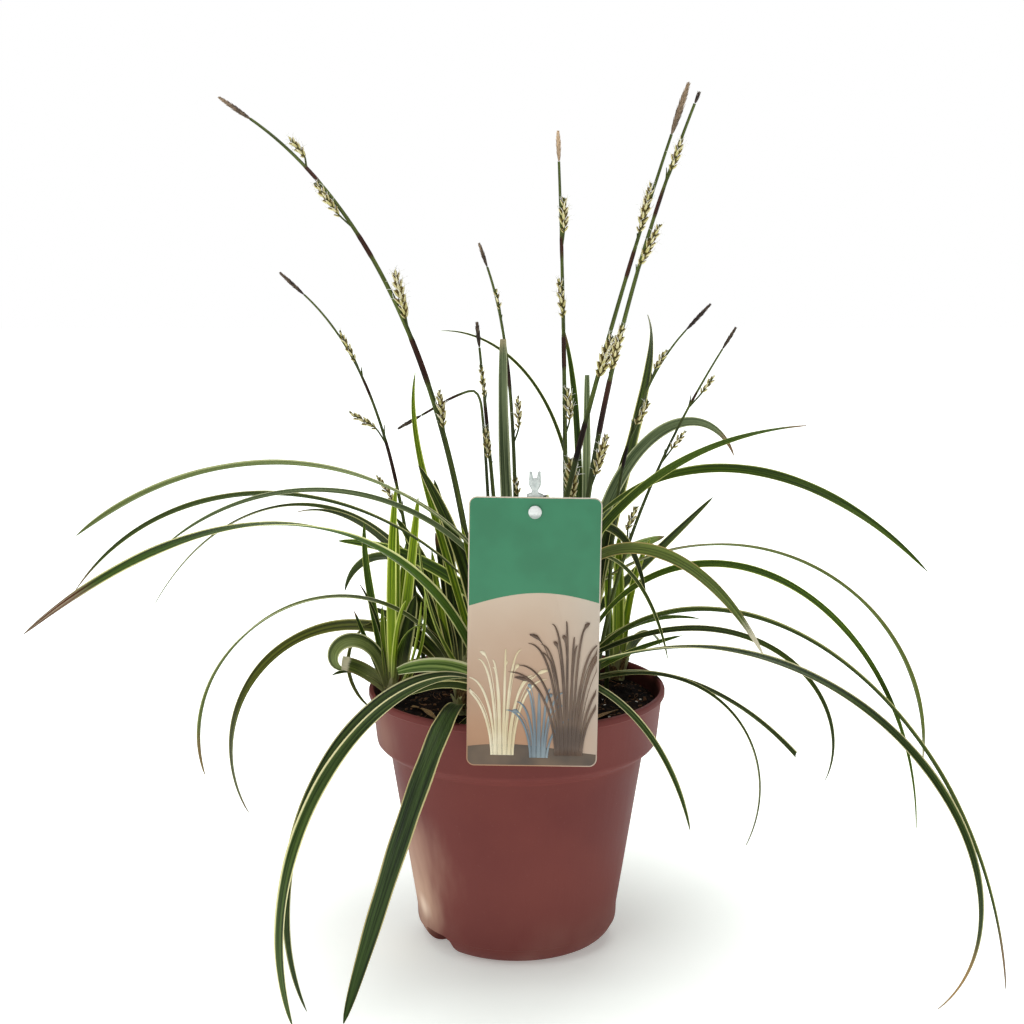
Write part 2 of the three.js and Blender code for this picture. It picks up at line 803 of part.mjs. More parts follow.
place("pot", makePot(), LOOKS.pot);
place("potting_soil", makeSoil([...crownHoles, ...stemHoles, stakeSlot(), ...notchRooms]), LOOKS.soil);
place("plant_label", makeCard(), LOOKS.card);
place("label_stake", makeStake(), LOOKS.clear);
place("label_peg", makePeg(), LOOKS.peg);

for (const [name, tuft] of Object.entries(TUFTS)) {
  place(`leaf_tuft_${name}`, makeTuft(tuft), LOOKS.leaf);
}

STEMS.forEach((stem, i) => {
  const stations = stemStations(stem);
  place(`flowering_stem_${i + 1}`, makeStem(stations, stem), LOOKS.stem);
  place(`male_spike_${i + 1}`, makeMaleSpike(stations, stem.male), LOOKS.spike);
});

export default part;
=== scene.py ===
"""The looks of a carex sedge in its nursery pot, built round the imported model.

Lengths are in millimetres until a mesh is made, and +Z is up. The leaves and stems follow the same
arches as the part's solids, with finer sections, real tips, veins and florets.
"""

import math

import bmesh
import bpy
import numpy as np
from mathutils import Matrix, Vector, noise


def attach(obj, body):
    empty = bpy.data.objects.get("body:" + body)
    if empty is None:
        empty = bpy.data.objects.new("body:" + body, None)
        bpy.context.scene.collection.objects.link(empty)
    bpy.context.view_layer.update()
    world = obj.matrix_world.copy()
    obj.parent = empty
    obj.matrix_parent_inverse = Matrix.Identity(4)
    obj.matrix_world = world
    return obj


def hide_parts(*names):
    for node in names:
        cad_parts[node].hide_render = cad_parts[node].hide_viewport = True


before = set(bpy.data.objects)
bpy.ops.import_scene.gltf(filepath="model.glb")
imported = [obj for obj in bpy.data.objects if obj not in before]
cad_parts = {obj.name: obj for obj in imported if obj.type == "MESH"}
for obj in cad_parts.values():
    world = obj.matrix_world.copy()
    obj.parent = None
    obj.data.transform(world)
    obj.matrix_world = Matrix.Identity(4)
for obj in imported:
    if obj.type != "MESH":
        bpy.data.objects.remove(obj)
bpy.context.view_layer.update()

# A millimetre in metres.
MM = 0.001
rng = np.random.default_rng(11)

# ------------------------ sizes and places

POT = {
    "height": 123,
    "rim_radius": 70,
    "rim_depth": 3.2,
    "lip_width": 2.2,
    "collar_depth": 29.5,
    "collar_top_radius": 68.6,
    "collar_low_radius": 66.4,
    "body_top_radius": 60.3,
    "foot_radius": 47.4,
    "foot_rounding": 12,
    "wall": 1.4,
    "floor": 2.4,
    "sides": 180,
}
NOTCHES = {"count": 2, "width": 20, "height": 10.5, "corner": 4, "first": 216, "reach": 22}
SOIL = {"edge": 115, "dome": 5, "radius": 66, "wave": 0.9, "sides": 260, "rings": 105}
# The heights of the rings up the soil's side, from the foot's rounding to just under its surface.
SOIL_SIDE = (16, 40, 70, 93, 96, 101, 108, 112.5)
LITTER = {"bits": 1100, "fibres": 130, "fibre_reach": 58}
# The soil's crumbs, coarse to fine: how much they rise, their size, and which slice of the noise.
CRUMBS = [(1.1, 7, 0.3), (0.8, 2.8, 5.1), (0.45, 1.2, 9.7)]
CROWN = {"radius": 4.3, "above": 8, "below": 7, "husks": 9, "sides": 20, "rings": 14}
# Husks stand out by this share of the crown's radius, with their feet this far under the soil.
HUSK = {"out": 0.72, "below": 2, "thickness": 0.3, "groove": 0.55, "stations": 9}
BRACT = {"half_width": 0.5, "thickness": 0.25, "groove": 0.5, "stations": 8}
DEAD_LEAF = {"above": 0.9, "thickness": 0.25, "groove": 0.4, "length": 60, "stations": 26}
BLADE = {"out": 2, "above": 3, "thickness": 0.46, "groove": 0.22, "facing": 38}
# A blade's stations: the most length and the most bend, in degrees, from one to the next, and the
# fewest of them. Then the length of its waver, the waver's degrees, and its ripple's length and share.
STATIONS = {"length": 3.2, "bend": 7, "fewest": 12}
WAVER = {"length": 17, "degrees": 5, "ripple_length": 6, "ripple": 0.025}
STEM = {"radius": 1.25, "tip_radius": 0.48, "below": 3, "sides": 12, "corners": 0.1, "station": 2.5}
BENT_STEM = {"length": 190, "stations": 70}
SPIKE = {"forward": 1.2, "stalk": 9, "stalk_radius": 0.42, "floret_spacing": 0.85, "scale_spacing": 0.42}
# A floret's parts: half widths, lengths, and how far a stigma leans out and how thick it is. Then
# a male scale's, and how far round the spike each floret or scale stands from the last, in degrees.
FLORET = {"sac": 0.47, "sac_length": 3.2, "scale": 0.64, "scale_length": 2.9, "lean": 1.6, "stigma": 0.13}
MALE_SCALE = {"half_width": 0.8, "length": 4.6}
FLORET_TURN = 145.1
SCALE_TURN = 137.5
LABEL = {
    "left": -20.6,
    "right": 36.6,
    "low": 107,
    "high": 227,
    "front": -74.4,
    "thickness": 0.6,
    "corner": 3.5,
    "roll": 0.8,
}
PEG = {"x": 7.8, "z": 220.5, "head_radius": 2.9, "head_depth": 1.8, "hole_radius": 1.6}
STAKE = {"half_width": 2.1, "thickness": 1.6, "low": 101, "high": 238, "lean": 4.8, "back": -73.5}

# Each tuft: its crown's place, then its blades. A blade's row is its kind, where along it the dry tip
# starts (1.1 where it has none), then heading, length, rise, fall, bend, sway and width, and where the
# defaults don't suit, how far its upper face turns, how much more it twists by its tip, and where its
# taper is cut off.
TUFTS = {
    "left": [
        (-59, 1),
        ("pale", 1.1, 195, 57, 79, -185, 2.45, 1, 8, -55),
        ("mature", 1.1, 192, 32, 65, -24, 1, 0, 3),
        ("edged", 0.88, 193, 28, 57, 15, 1, 3, 7.5, -60, 0, 0.6),
        ("young", 1.1, 87, 100, 98, 54, 1.53, -3, 4.8),
        ("young", 1.1, 44, 93, 79, 82, 1.05, 1, 5.4),
        ("fresh", 1.1, 135, 82, 74, 95, 3.5, 6, 4, -50),
        ("young", 1.1, 187, 43, 82, 91, 0.9, 0, 3, -60),
        ("young", 1.1, 173, 38, 88, 88, 1, 0, 2.8, -60),
        ("young", 1.1, 285, 58, 85, 38, 1.24, 5, 3),
        ("mature", 1.1, 26, 47, 81, 74, 1.14, -8, 8, 70),
        ("young", 1.1, 78, 80, 80, 87, 1.25, -1, 4),
        ("young", 1.1, 76, 72, 82, 68, 0.5, -2, 3.6),
        ("mature", 1.1, 100, 95, 60, -80, 1, -6, 5),
        ("fresh", 0.94, 179, 43, 67, 70, 1.05, 0, 3, -50),
        ("mature", 0.94, 181, 55, 88, 59, 1.5, 0, 2.6, -30),
        ("young", 1.1, 319, 58, 27, 96, 0.62, 6, 4, 60),
        ("young", 1.1, 310, 53, 33, 86, 0.55, 7, 4, 55),
        ("fresh", 1.1, 309, 51, 96, 6, 1.26, 1, 2.2),
    ],
    "inner": [
        (-27, 8),
        ("mature", 1.1, 129, 270, 89, -57, 0.7, 26, 3.4),
        ("mature", 0.96, 140, 142, 72, -16, 1.25, 1, 4.4, -30, 20),
        ("pale", 0.9, 200, 199, 75, -106, 1, -3, 4.6, -50, 110),
        ("olive", 0.97, 160, 193, 55, -117, 0.93, 26, 6.8, -50, 20),
        ("olive", 1.1, 167, 112, 81, -153, 1.19, -15, 3.6, -30, 60),
        ("mature", 1.1, 150, 113, 89, -79, 1.65, -1, 5.6, 10, 80),
        ("mature", 1.1, 80, 225, 80, -80, 1, 6, 6),
        ("fresh", 1.1, 100, 150, 55, -70, 1, 6, 5),
        ("young", 1.1, 169, 65, 75, 83, 0.75, -7, 4, -55),
        ("mature", 0.92, 127, 72, 80, 67, 1.45, -3, 5),
        ("mature", 1.1, 160, 85, 84, 52, 1.1, 2, 6.5, -45),
        ("mature", 1.1, 141, 64, 67, 38, 1, 12, 6, -40),
        ("mature", 1.1, 175, 56, 64, 15, 1, -12, 5.5, -50),
        ("mature", 1.1, 118, 98, 86, 62, 1.2, 0, 6.6),
    ],
    "mid": [
        (-13, -10),
        ("lined", 0.91, 235, 328, 73, -21, 0.7, 4, 6, 40, -80),
        ("young", 1.1, 144, 154, 70, 102, 5, 10, 4),
        ("young", 1.1, 168, 80, 89, 75, 1, 3, 4),
        ("young", 1.1, 203, 85, 24, 88, 0.5, 1, 4.6),
        ("mature", 1.1, 160, 112, 88, 53, 1.1, -12, 7, -45),
    ],
    "front": [
        (-5, -37),
        ("banded", 1.1, 226, 232, 89, -106, 0.5, -15, 7.6, 10, -40),
        ("banded", 1.1, 216, 230, 85, -114, 0.55, 10, 5),
        ("mature", 1.1, 227, 31, 18, -34, 1.1, -9, 3.6),
        ("bright_sheen", 1.1, 176, 57, 93, -19, 0.57, 7, 8.5, -20, -45, 0.95),
        ("mature", 1.1, 197, 47, 52, -26, 1.1, 0, 5),
        ("banded", 1.1, 322, 137, 89, -75, 0.55, -4, 3.6),
    ],
    "brim": [
        (-25, -31),
        ("broad", 1.1, 264, 217, 53, -40, 0.32, -11, 9.5),
    ],
    "centre": [
        (8, -4),
        ("pale", 1.1, 194, 273, 89, -37, 0.9, 5, 8, -40, 100),
        ("grey", 1.1, 178, 227, 89, -40, 0.95, 11, 3.6),
        ("mature", 0.96, 181, 281, 74, -54, 1, -17, 3.2, -10, 120),
        ("fresh", 1.1, 166, 125, 79, -2, 0.8, -5, 6.2, -60),
        ("fresh", 0.97, 330, 204, 84, 7, 1, -2, 4.4, 70, 80),
        ("edged", 0.94, 304, 209, 89, -49, 0.94, 3, 6, 60),
        ("mature", 1.1, 344, 192, 36, -112, 1.8, 2, 3.6),
        ("banded", 0.93, 292, 364, 25, -132, 2.5, 40, 5, -10, 40),
        ("ribbed", 0.985, 167, 165, 77, 91, 0.63, 2, 6, -62, 0, 0.92),
    ],
    "right": [
        (26, -1),
        ("grey", 0.93, 44, 200, 84, -61, 2.13, -1, 6.4, -10, 100),
        ("fresh", 1.1, 332, 272, 87, -89, 0.85, -23, 3.4, 50, 60),
        ("mature", 0.93, 325, 318, 73, -83, 0.69, -13, 4.6, -30, -40),
        ("mature", 1.1, 20, 133, 46, -48, 0.4, -4, 6.4, -20, 60, 0.8),
        ("mature", 1.1, 12, 159, 20, -117, 1.1, 3, 2.4, 30, 20),
        ("fresh", 1.1, 17, 76, 89, -13, 0.6, -2, 3.4),
        ("fresh", 1.1, 357, 57, 75, 16, 0.25, -3, 3.4),
    ],
    "hind": [
        (33, 18),
        ("mature", 1.1, 168, 199, 89, -3, 3.15, 4, 2.6),
        ("fresh", 0.96, 164, 170, 89, 75, 5, 0, 4.8),
        ("ribbed", 1.1, 88, 147, 93, 84, 2, 0, 4.4, 0, 0, 0.92),
        ("mature", 1.1, 52, 248, 89, 9, 0.8, 40, 6.4, 10, 60),
        ("mature", 1.1, 30, 117, 86, 71, 1.2, 0, 5),
        ("mature", 1.1, 78, 150, 72, -87, 1, -4, 5.2),
        ("mature", 0.95, 98, 130, 50, -60, 1, 0, 5),
    ],
    "back": [
        (8, 34),
        ("fresh", 1.1, 317, 288, 93, -37, 0.81, -2, 5, 20, 60),
        ("mature", 1.1, 39, 138, 31, 32, 1, -2, 4.8, 55),
        ("bright_sheen", 0.97, 42, 108, 66, 3, 0.85, -3, 7.6, 60),
        ("edged", 0.975, 356, 281, 73, -94, 0.95, -3, 4.4, 20, -80),
        ("mature", 1.1, 321, 158, 90, -67, 1.53, -33, 4.8, 50),
        ("mature", 1.1, 299, 176, 82, -68, 1.22, -3, 2.6),
        ("mature", 1.1, 86, 265, 80, -100, 1, 2, 6),
        ("fresh", 1.1, 104, 190, 74, -88, 0.95, -6, 5.5),
        ("mature", 0.94, 70, 172, 76, -70, 1, 3, 5),
    ],
    "far": [
        (49, 33),
        ("young", 1.1, 69, 70, 89, 92, 1, -1, 6),
        ("young", 1.1, 121, 56, 77, 86, 1, 0, 3.6),
        ("young", 1.1, 17, 69, 85, 62, 2.1, 0, 4.4),
        ("mature", 1.1, 60, 60, 50, -50, 1.1, 6, 5),
    ],
}

# Each flowering stem: its root, its girth beside the usual one, its arch (or the points it passes),
# its male spike (length, radius, and tone from 0, dark, to 1, pale), its dark sheaths (from, to, along
# the stem), and its female spikes (start along the stem, length, how far the start and the tip stand
# out to the right, and radius).
STEMS = [
    {
        "root": (-14, 4), "girth": 1.4, "arch": (154, 312, 83, 29, 1.85, -4), "male": (22, 1.3, 0.3),
        "sheaths": [(0.485, 0.56), (0.695, 0.74), (0.84, 0.875)],
        "spikes": [
            (0.42, 17, 1.5, 4.2, 2.2), (0.595, 24, 2, 7.4, 2.8),
            (0.775, 20, -2.6, -2.2, 2), (0.9, 14, 4.8, 7.2, 2),
        ],
    },
    {
        "root": (-43, 16), "girth": 0.9, "arch": (164, 204, 83, 40, 3.05, 0), "male": (16, 1, 0.14),
        "sheaths": [(0.505, 0.61), (0.71, 0.765)],
        "spikes": [(0.47, 11, -3.4, -8.4, 1.8), (0.64, 7.5, -3, -12.7, 1.8), (0.81, 16, 0.9, 2, 1.4)],
    },
    {
        "root": (-10, 19), "girth": 1, "male": (13, 1, 0.05),
        "sheaths": [(0.88, 1.0)],
        "through": [
            (-10.5, 20, 159), (-13, 20, 199), (-16, 20, 247), (-17.5, 20, 257),
            (-20, 20, 260.5), (-28, 20, 258.5), (-45, 20, 249),
        ],
        "spikes": [],
    },
    {
        "root": (-4, 14), "girth": 1.2, "arch": (160, 165, 86, 84, 1, 0), "male": (12, 1.15, 0.1),
        "sheaths": [(0.775, 0.85)],
        "spikes": [(0.69, 14, -0.6, -0.6, 1.7), (0.865, 14, 0.3, -0.3, 1.3)],
    },
    {
        "root": (1, 4), "girth": 1.1, "arch": (192, 204, 89, 71, 4.65, 0), "male": (11.5, 0.9, 0.22),
        "sheaths": [(0.72, 0.79)],
        "spikes": [(0.48, 8, 1.4, 0, 1.7), (0.635, 14, 3.1, 3.3, 1.7), (0.905, 9, 0.6, 0.8, 1)],
    },
    {
        "root": (24, 9.5), "girth": 1.25, "arch": (117, 251, 89, 85, 2.1, 0), "male": (14, 1.15, 0.85),
        "sheaths": [(0.62, 0.685), (0.825, 0.868)],
        "spikes": [
            (0.385, 17, 2.9, 2.6, 3.6), (0.53, 14, 2.3, 1.2, 2.1),
            (0.72, 17, 0, -1.7, 1.9), (0.875, 15, 1.3, 1.7, 2.2),
        ],
    },
    {
        "root": (2, -14), "girth": 1.3, "arch": (15, 272, 79, 71, 1, 0), "male": (25, 1.65, 0.42),
        "sheaths": [(0.435, 0.5), (0.75, 0.8)],
        "spikes": [(0.586, 18, 0.7, 1.5, 3.4), (0.835, 22, -0.3, -2, 2.2)],
    },
    {
        "root": (25, -12), "girth": 1.3, "arch": (351, 283, 89, 69, 1, 0), "male": (5, 0.9, 0.05),
        "sheaths": [(0.455, 0.55), (0.815, 0.86)],
        "spikes": [
            (0.395, 18, 1.8, 3.6, 2.6), (0.57, 20, -0.5, -0.2, 2.3),
            (0.74, 18, 0.4, 3.4, 2.1), (0.895, 14, 0.5, 0, 2),
        ],
    },
    {
        "root": (43, 11), "girth": 0.9, "arch": (20, 183, 89, 44, 2.85, -1), "male": (17.5, 1, 0),
        "sheaths": [(0.6, 0.66)],
        "spikes": [(0.725, 11, 1.4, 2.8, 1.9), (0.88, 10, -1.4, -1.9, 1.7)],
    },
    {
        "root": (37, -5), "girth": 0.9, "arch": (24, 180, 89, 53, 0.7, 4), "male": (12.5, 0.9, 0.1),
        "sheaths": [(0.83, 0.87)],
        "spikes": [(0.475, 11, -3, -3, 1.8), (0.703, 9, 2, 4, 1.5), (0.868, 9, 2.4, 3.6, 1.4)],
    },
]

# Dead leaves on the soil, as the points (x, y) that each one passes over.
DEAD_LEAVES = [
    [(-52, -31), (-44, -42), (-33, -50), (-20, -56), (-9, -57)],
    [(-49, -18), (-42, -27), (-37, -38)],
    [(30, -45), (38, -34), (47, -24)],
    [(14, 50), (0, 54), (-15, 51)],
    [(-40, 40), (-30, 47), (-18, 44)],
]

# The card's print: how far it stays inside the card's edge, how thick its ink stands on the card and
# reaches into it, how far apart and how thick the layers of its blades are, how far they keep from the
# print's sides, the hill's height, and the blades' length and reach.
PRINT = {
    "inset": 0.5,
    "ink": 0.05,
    "sink": 0.01,
    "layer": 0.012,
    "skin": 0.007,
    "margin": 0.4,
    "hill": 178,
    "blade": 56,
    "reach": 22,
}
# The printed tussocks: where each stands, its blades, ink and size, and how far its roots spread.
TUSSOCKS = [(-5, 112, 15, 1, 0.8, 5), (11, 111, 12, 2, 0.55, 4), (24, 112, 22, 0, 1.0, 6)]

# A leaf kind: its dark green, the paler green of its streaks, its margins, how wide they are as a
# share of the half width, and its dry tip.
LEAF_KINDS = {
    "mature": ("18230a", "4c5f1f", "dcd894", 0.15, "6e4a2c"),
    "pale": ("25360f", "8d9b58", "dcdca8", 0.16, "8a7448"),
    "fresh": ("203508", "56701a", "c9d074", 0.12, "8a5a30"),
    # The bright kind: a bright green whose pale streaks are a painted sheen, light off the leaf's fold.
    "bright_sheen": ("375812", "a4bc66", "e2e4b0", 0.16, "8a6a40"),
    "young": ("3e5f0a", "a2b92c", "e2e880", 0.2, "a8925a"),
    "grey": ("37462a", "78865c", "bcc094", 0.16, "84603a"),
    "olive": ("262b0b", "5a6020", "a8a164", 0.12, "6a4a2c"),
    "banded": ("1c2e0c", "51662f", "ebe4ac", 0.19, "a07c48"),
    "lined": ("1e330b", "4d6a22", "eeeca6", 0.22, "642c10"),
    "edged": ("38461a", "717e3a", "a08e58", 0.1, "e6dec2"),
    "broad": ("17280a", "48602c", "ddd092", 0.09, "a07c48"),
    "ribbed": ("3c4c2c", "96a478", "bcc49a", 0.2, "b0a07c"),
}

# Painted light on the pot's left, pale patches where thin plastic lets light through: place, reach,
# strength and colour.
POT_PAINTED_GLOWS = [
    ((-52, -20, 44), 44, 0.85, "c49c87"),
    ((-64, -28, 106), 24, 0.4, "a07763"),
    ((-47, -18, 24), 30, 0.9, "dcb49b"),
    ((-42.5, -20.5, 21), 9, 0.9, "ffe3cd"),
]

# The camera: the picture's side, its focal length and the axis's place across, all in pixels, then
# where it stands, in metres, and how far it looks down, in radians.
PHOTO_PIXELS = 1024
FOCAL_PIXELS = 1971.7
PRINCIPAL_X = 516.8
CAMERA_PLACE = (0, -0.903, 0.3793)
CAMERA_DIP = 0.1893

# Each light: its name, place and diameter in metres, and watts. All aim at the plant's middle.
LIGHTS = [
    ("key", (-1.0, -1.3, 1.8), 1.5, 13),
    ("fill", (1.5, -1.0, 1.1), 1.6, 1.5),
    ("top", (-0.1, 0.1, 2.2), 1.8, 21),
    ("back", (0.4, 1.7, 1.3), 1.2, 7),
]
PLANT_MIDDLE = Vector((0, 0, 0.18))
SKY_LIGHT = 0.2
FLOOR_REACH = 3000


# ------------------------ shader helpers


def rgb(code):
    """A hex colour as linear RGBA."""
    parts = [int(code[i : i + 2], 16) / 255 for i in (0, 2, 4)]
    return tuple(p / 12.92 if p < 0.04045 else ((p + 0.055) / 1.055) ** 2.4 for p in parts) + (1.0,)


class Shader:
    """A material's node tree, with a short call for each kind of node. What a call takes is another
    call's output, a number or vector, or a colour as a hex code."""

    def __init__(self, name):
        self.material = bpy.data.materials.new(name)
        self.material.use_nodes = True
        self.tree = self.material.node_tree
        self.surface = self.tree.nodes["Principled BSDF"]

    def feed(self, socket, value):
        if isinstance(value, bpy.types.NodeSocket):
            self.tree.links.new(value, socket)
        else:
            socket.default_value = rgb(value) if isinstance(value, str) else value

    def node(self, kind, output, inputs=(), **settings):
        """Makes a node with these settings, feeds its inputs, and returns one of its outputs."""
        node = self.tree.nodes.new("ShaderNode" + kind)
        for key, value in settings.items():
            setattr(node, key, value)
        for key, value in inputs.items() if isinstance(inputs, dict) else enumerate(inputs):
            self.feed(node.inputs[key], value)
        return node.outputs[output]

    def attribute(self, name):
        return self.node("Attribute", "Fac", attribute_name=name)

    def position(self):
        """The point's place in the object, in metres."""
        return self.node("TexCoord", "Object")

    def axes(self, vector):
        return [self.node("SeparateXYZ", index, [vector]) for index in range(3)]

    def combine(self, x, y, z):
        return self.node("CombineXYZ", 0, [x, y, z])

    def math(self, operation, *values):
        return self.node("Math", 0, values, operation=operation)

    def plus(self, first, second):
        return self.math("ADD", first, second)

    def times(self, first, second):
        return self.math("MULTIPLY", first, second)

    def vectors(self, operation, *values):
        return self.node("VectorMath", "Value", values, operation=operation)

    def step(self, value, low, high, start=0.0, end=1.0):
        """Runs smoothly from start to end as value goes from low to high."""
        return self.node("MapRange", 0, [value, low, high, start, end], interpolation_type="SMOOTHSTEP")

    def noise(self, vector, scale, detail=2.0):
        return self.node("TexNoise", "Fac", {"Vector": vector, "Scale": scale, "Detail": detail})

    def mix(self, factor, first, second, way="MIX"):
        return self.node("Mix", 2, {0: factor, 6: first, 7: second}, data_type="RGBA", blend_type=way)

    def blend(self, value, low, high, first, second, most=1.0):
        """Goes from the first colour towards the second, as value goes from low to high."""
        return self.mix(self.step(value, low, high, 0.0, most), first, second)

    def bump(self, height, distance, strength):
        inputs = {"Strength": strength, "Distance": distance, "Height": height}
        self.feed(self.surface.inputs["Normal"], self.node("Bump", 0, inputs))

    def finish(self, colour, roughness, specular, **fixed):
        fixed["Specular IOR Level"] = specular
        for name, value in {"Base Color": colour, "Roughness": roughness, **fixed}.items():
            self.feed(self.surface.inputs[name.replace("_", " ")], value)
        return self.material


# ------------------------ materials


def leaf_material(kind):
    dark, streak, margin, margin_width, tip = LEAF_KINDS[kind]
    s = Shader("leaf_" + kind)
    across, along, reach, draw = [s.attribute(name) for name in ("across", "along", "reach", "draw")]
    side = s.math("ABSOLUTE", across)
    lot = s.times(draw, 37.0)
    broad = s.noise(s.combine(s.times(across, 2.6), s.times(reach, 0.012), lot), 1.0)
    fine = s.noise(s.combine(s.times(across, 11.0), s.times(reach, 0.03), lot), 1.0, 3.0)
    veins = s.math("SINE", s.times(across, 34.0))
    body = s.blend(broad, 0.4, 0.68, dark, streak)
    body = s.blend(fine, 0.38, 0.75, body, streak, 0.5)
    body = s.mix(s.times(s.step(veins, -0.2, 1.0), 0.22), body, dark)
    body = s.blend(side, 0.14, 0.02, body, streak, 0.45)
    edge = s.plus(side, s.times(s.math("SUBTRACT", broad, 0.5), 0.3))
    body = s.blend(edge, 1 - margin_width - 0.09, 1 - margin_width + 0.03, body, margin)
    body = s.mix(s.times(s.attribute("under"), 0.4), body, streak)
    tone = s.step(draw, 0.0, 1.0, 0.75, 1.25)
    body = s.mix(1.0, body, s.combine(tone, tone, tone), "MULTIPLY")
    body = s.blend(reach, 22.0, 0.0, body, "b9bd84", 0.8)
    ragged = s.plus(along, s.times(s.math("SUBTRACT", fine, 0.5), 0.08))
    dry = s.step(s.math("SUBTRACT", ragged, s.attribute("dry")), -0.035, 0.03)
    body = s.mix(dry, body, s.blend(broad, 0.48, 0.8, tip, "d0c3a4"))
    s.bump(s.plus(s.times(veins, 0.5), fine), 0.00012, 0.7)
    return s.finish(body, s.step(fine, 0.3, 0.7, 0.34, 0.5), 0.16)


def husk_material():
    s = Shader("husk")
    across, draw, reach = [s.attribute(name) for name in ("across", "draw", "reach")]
    grain = s.noise(s.combine(s.times(across, 5.0), draw, reach), 1.0, 3.0)
    body = s.blend(grain, 0.35, 0.65, "4a3422", "9a7c50")
    body = s.blend(draw, 0.45, 0.6, body, "a9a878")
    s.bump(grain, 0.0002, 0.6)
    return s.finish(body, 0.7, 0.25)


def stem_material():
    s = Shader("stem")
    around = s.attribute("across")
    grain = s.noise(s.combine(s.times(around, 3.0), s.times(s.attribute("reach"), 0.03), 0.0), 1.0, 3.0)
    ribs = s.math("SINE", s.times(around, 75.0))
    green = s.blend(grain, 0.35, 0.65, "263014", "5a672c")
    green = s.blend(ribs, 0.2, 1.0, green, "8d9a5a", 0.25)
    brown = s.blend(grain, 0.3, 0.7, "120a0a", "4a2a1e")
    s.bump(s.plus(grain, s.times(ribs, 0.3)), 0.00012, 0.6)
    return s.finish(s.mix(s.attribute("dark"), green, brown), 0.45, 0.2)


def floret_material():
    """Florets: the pale green-cream sac, the brown scale under it and the white stigmas."""
    s = Shader("floret")
    kind, along, draw = [s.attribute(name) for name in ("kind", "along", "draw")]
    grain = s.noise(s.position(), 2600.0)
    sac = s.blend(draw, 0.1, 0.9, "cfc582", "e6dcac")
    sac = s.blend(along, 0.25, 0.0, sac, "8b8744")
    sac = s.blend(along, 0.6, 1.0, sac, "efe7c4")
    scale = s.blend(grain, 0.35, 0.65, "5f5026", "9c8850")
    body = s.blend(kind, 0.4, 0.6, sac, scale)
    body = s.blend(kind, 1.4, 1.6, body, "f6f4ee")
    s.bump(grain, 0.00015, 0.5)
    return s.finish(body, 0.6, 0.3)


def male_material():
    """Scales of a male spike: brown with a paler edge and tip, from dark to pale by tone."""
    s = Shader("male_scales")
    across, along, tone = [s.attribute(name) for name in ("across", "along", "tone")]
    grain = s.noise(s.position(), 2200.0, 3.0)
    middle = s.mix(s.math("POWER", tone, 1.5), "1a1110", "dcb994")
    middle = s.blend(grain, 0.35, 0.7, middle, "4a3020", 0.3)
    edge = s.mix(s.math("POWER", tone, 1.3), "4c3e36", "f0d8b8")
    body = s.blend(s.math("ABSOLUTE", across), 0.6, 0.95, middle, edge)
    body = s.blend(along, 0.85, 1.0, body, edge, 0.5)
    s.bump(grain, 0.00012, 0.5)
    return s.finish(body, 0.55, 0.3)


def pot_material():
    """Matt plastic: cloudy and specked, paler low down, dusty at the foot, with painted light where the
    thin wall lets light through on the left, and painted shade dark inside.
    """
    s = Shader("pot_plastic")
    place = s.position()
    x, y, height = s.axes(place)
    clouds = s.noise(place, 22.0, 3.0)
    specks = s.noise(place, 900.0)
    body = s.blend(clouds, 0.3, 0.7, "6a3230", "733a36")
    body = s.blend(height, 0.088, 0.03, body, "94544d", 0.3)
    body = s.blend(specks, 0.66, 0.8, body, "95605a", 0.2)
    streaks = s.noise(s.combine(x, y, s.times(height, 0.3)), 120.0)
    # Painted light: pale patches on the pot's left, where light shines through its thin wall.
    for centre, reach, amount, tint in POT_PAINTED_GLOWS:
        span = reach * MM
        away = s.vectors("DISTANCE", place, [size * MM for size in centre])
        ragged = s.plus(away, s.times(streaks, 0.4 * span))
        body = s.blend(ragged, 1.1 * span, 0.15 * span, body, tint, amount)
    # Painted shade: the pot's inner wall, below the rim, darkened to near black.
    normal = s.node("NewGeometry", "Normal")
    inside = s.step(s.vectors("DOT_PRODUCT", s.combine(x, y, 0.0), normal), -0.01, -0.03)
    painted_shade_under_rim = s.times(s.step(height, 0.1225, 0.119), 0.75)
    body = s.mix(s.times(inside, painted_shade_under_rim), body, "2a1512")
    dust = s.times(s.step(height, 0.03, 0.0), s.step(clouds, 0.45, 0.7))
    body = s.mix(s.times(dust, 0.25), body, "a08074")
    flow = s.noise(s.combine(x, y, s.times(height, 0.08)), 160.0)
    s.bump(s.plus(s.times(specks, 0.25), flow), 0.00022, 0.5)
    return s.finish(body, s.step(clouds, 0.3, 0.7, 0.54, 0.66), 0.14)


def soil_material():
    s = Shader("potting_mix")
    place = s.position()
    coarse = s.noise(place, 260.0, 4.0)
    fine = s.noise(place, 1500.0, 3.0)
    body = s.blend(coarse, 0.35, 0.7, "0a0706", "1d1410")
    body = s.blend(fine, 0.6, 0.78, body, "3a281d")
    s.bump(s.plus(coarse, s.times(fine, 0.4)), 0.001, 0.9)
    return s.finish(body, 0.95, 0.08)


def litter_material():
    """Bits on the soil: bark and fibre, some dark, some brown, and grains of white perlite."""
    s = Shader("soil_bits")
    draw = s.attribute("draw")
    grain = s.noise(s.position(), 1200.0, 3.0)
    body = s.blend(draw, 0.0, 0.8, "17100d", "5a3d28")
    body = s.blend(grain, 0.4, 0.7, body, "7a5a3c", 0.5)
    body = s.blend(draw, 0.93, 0.94, body, "d8d4ca")
    s.bump(grain, 0.0004, 0.8)
    return s.finish(body, 0.9, 0.2)


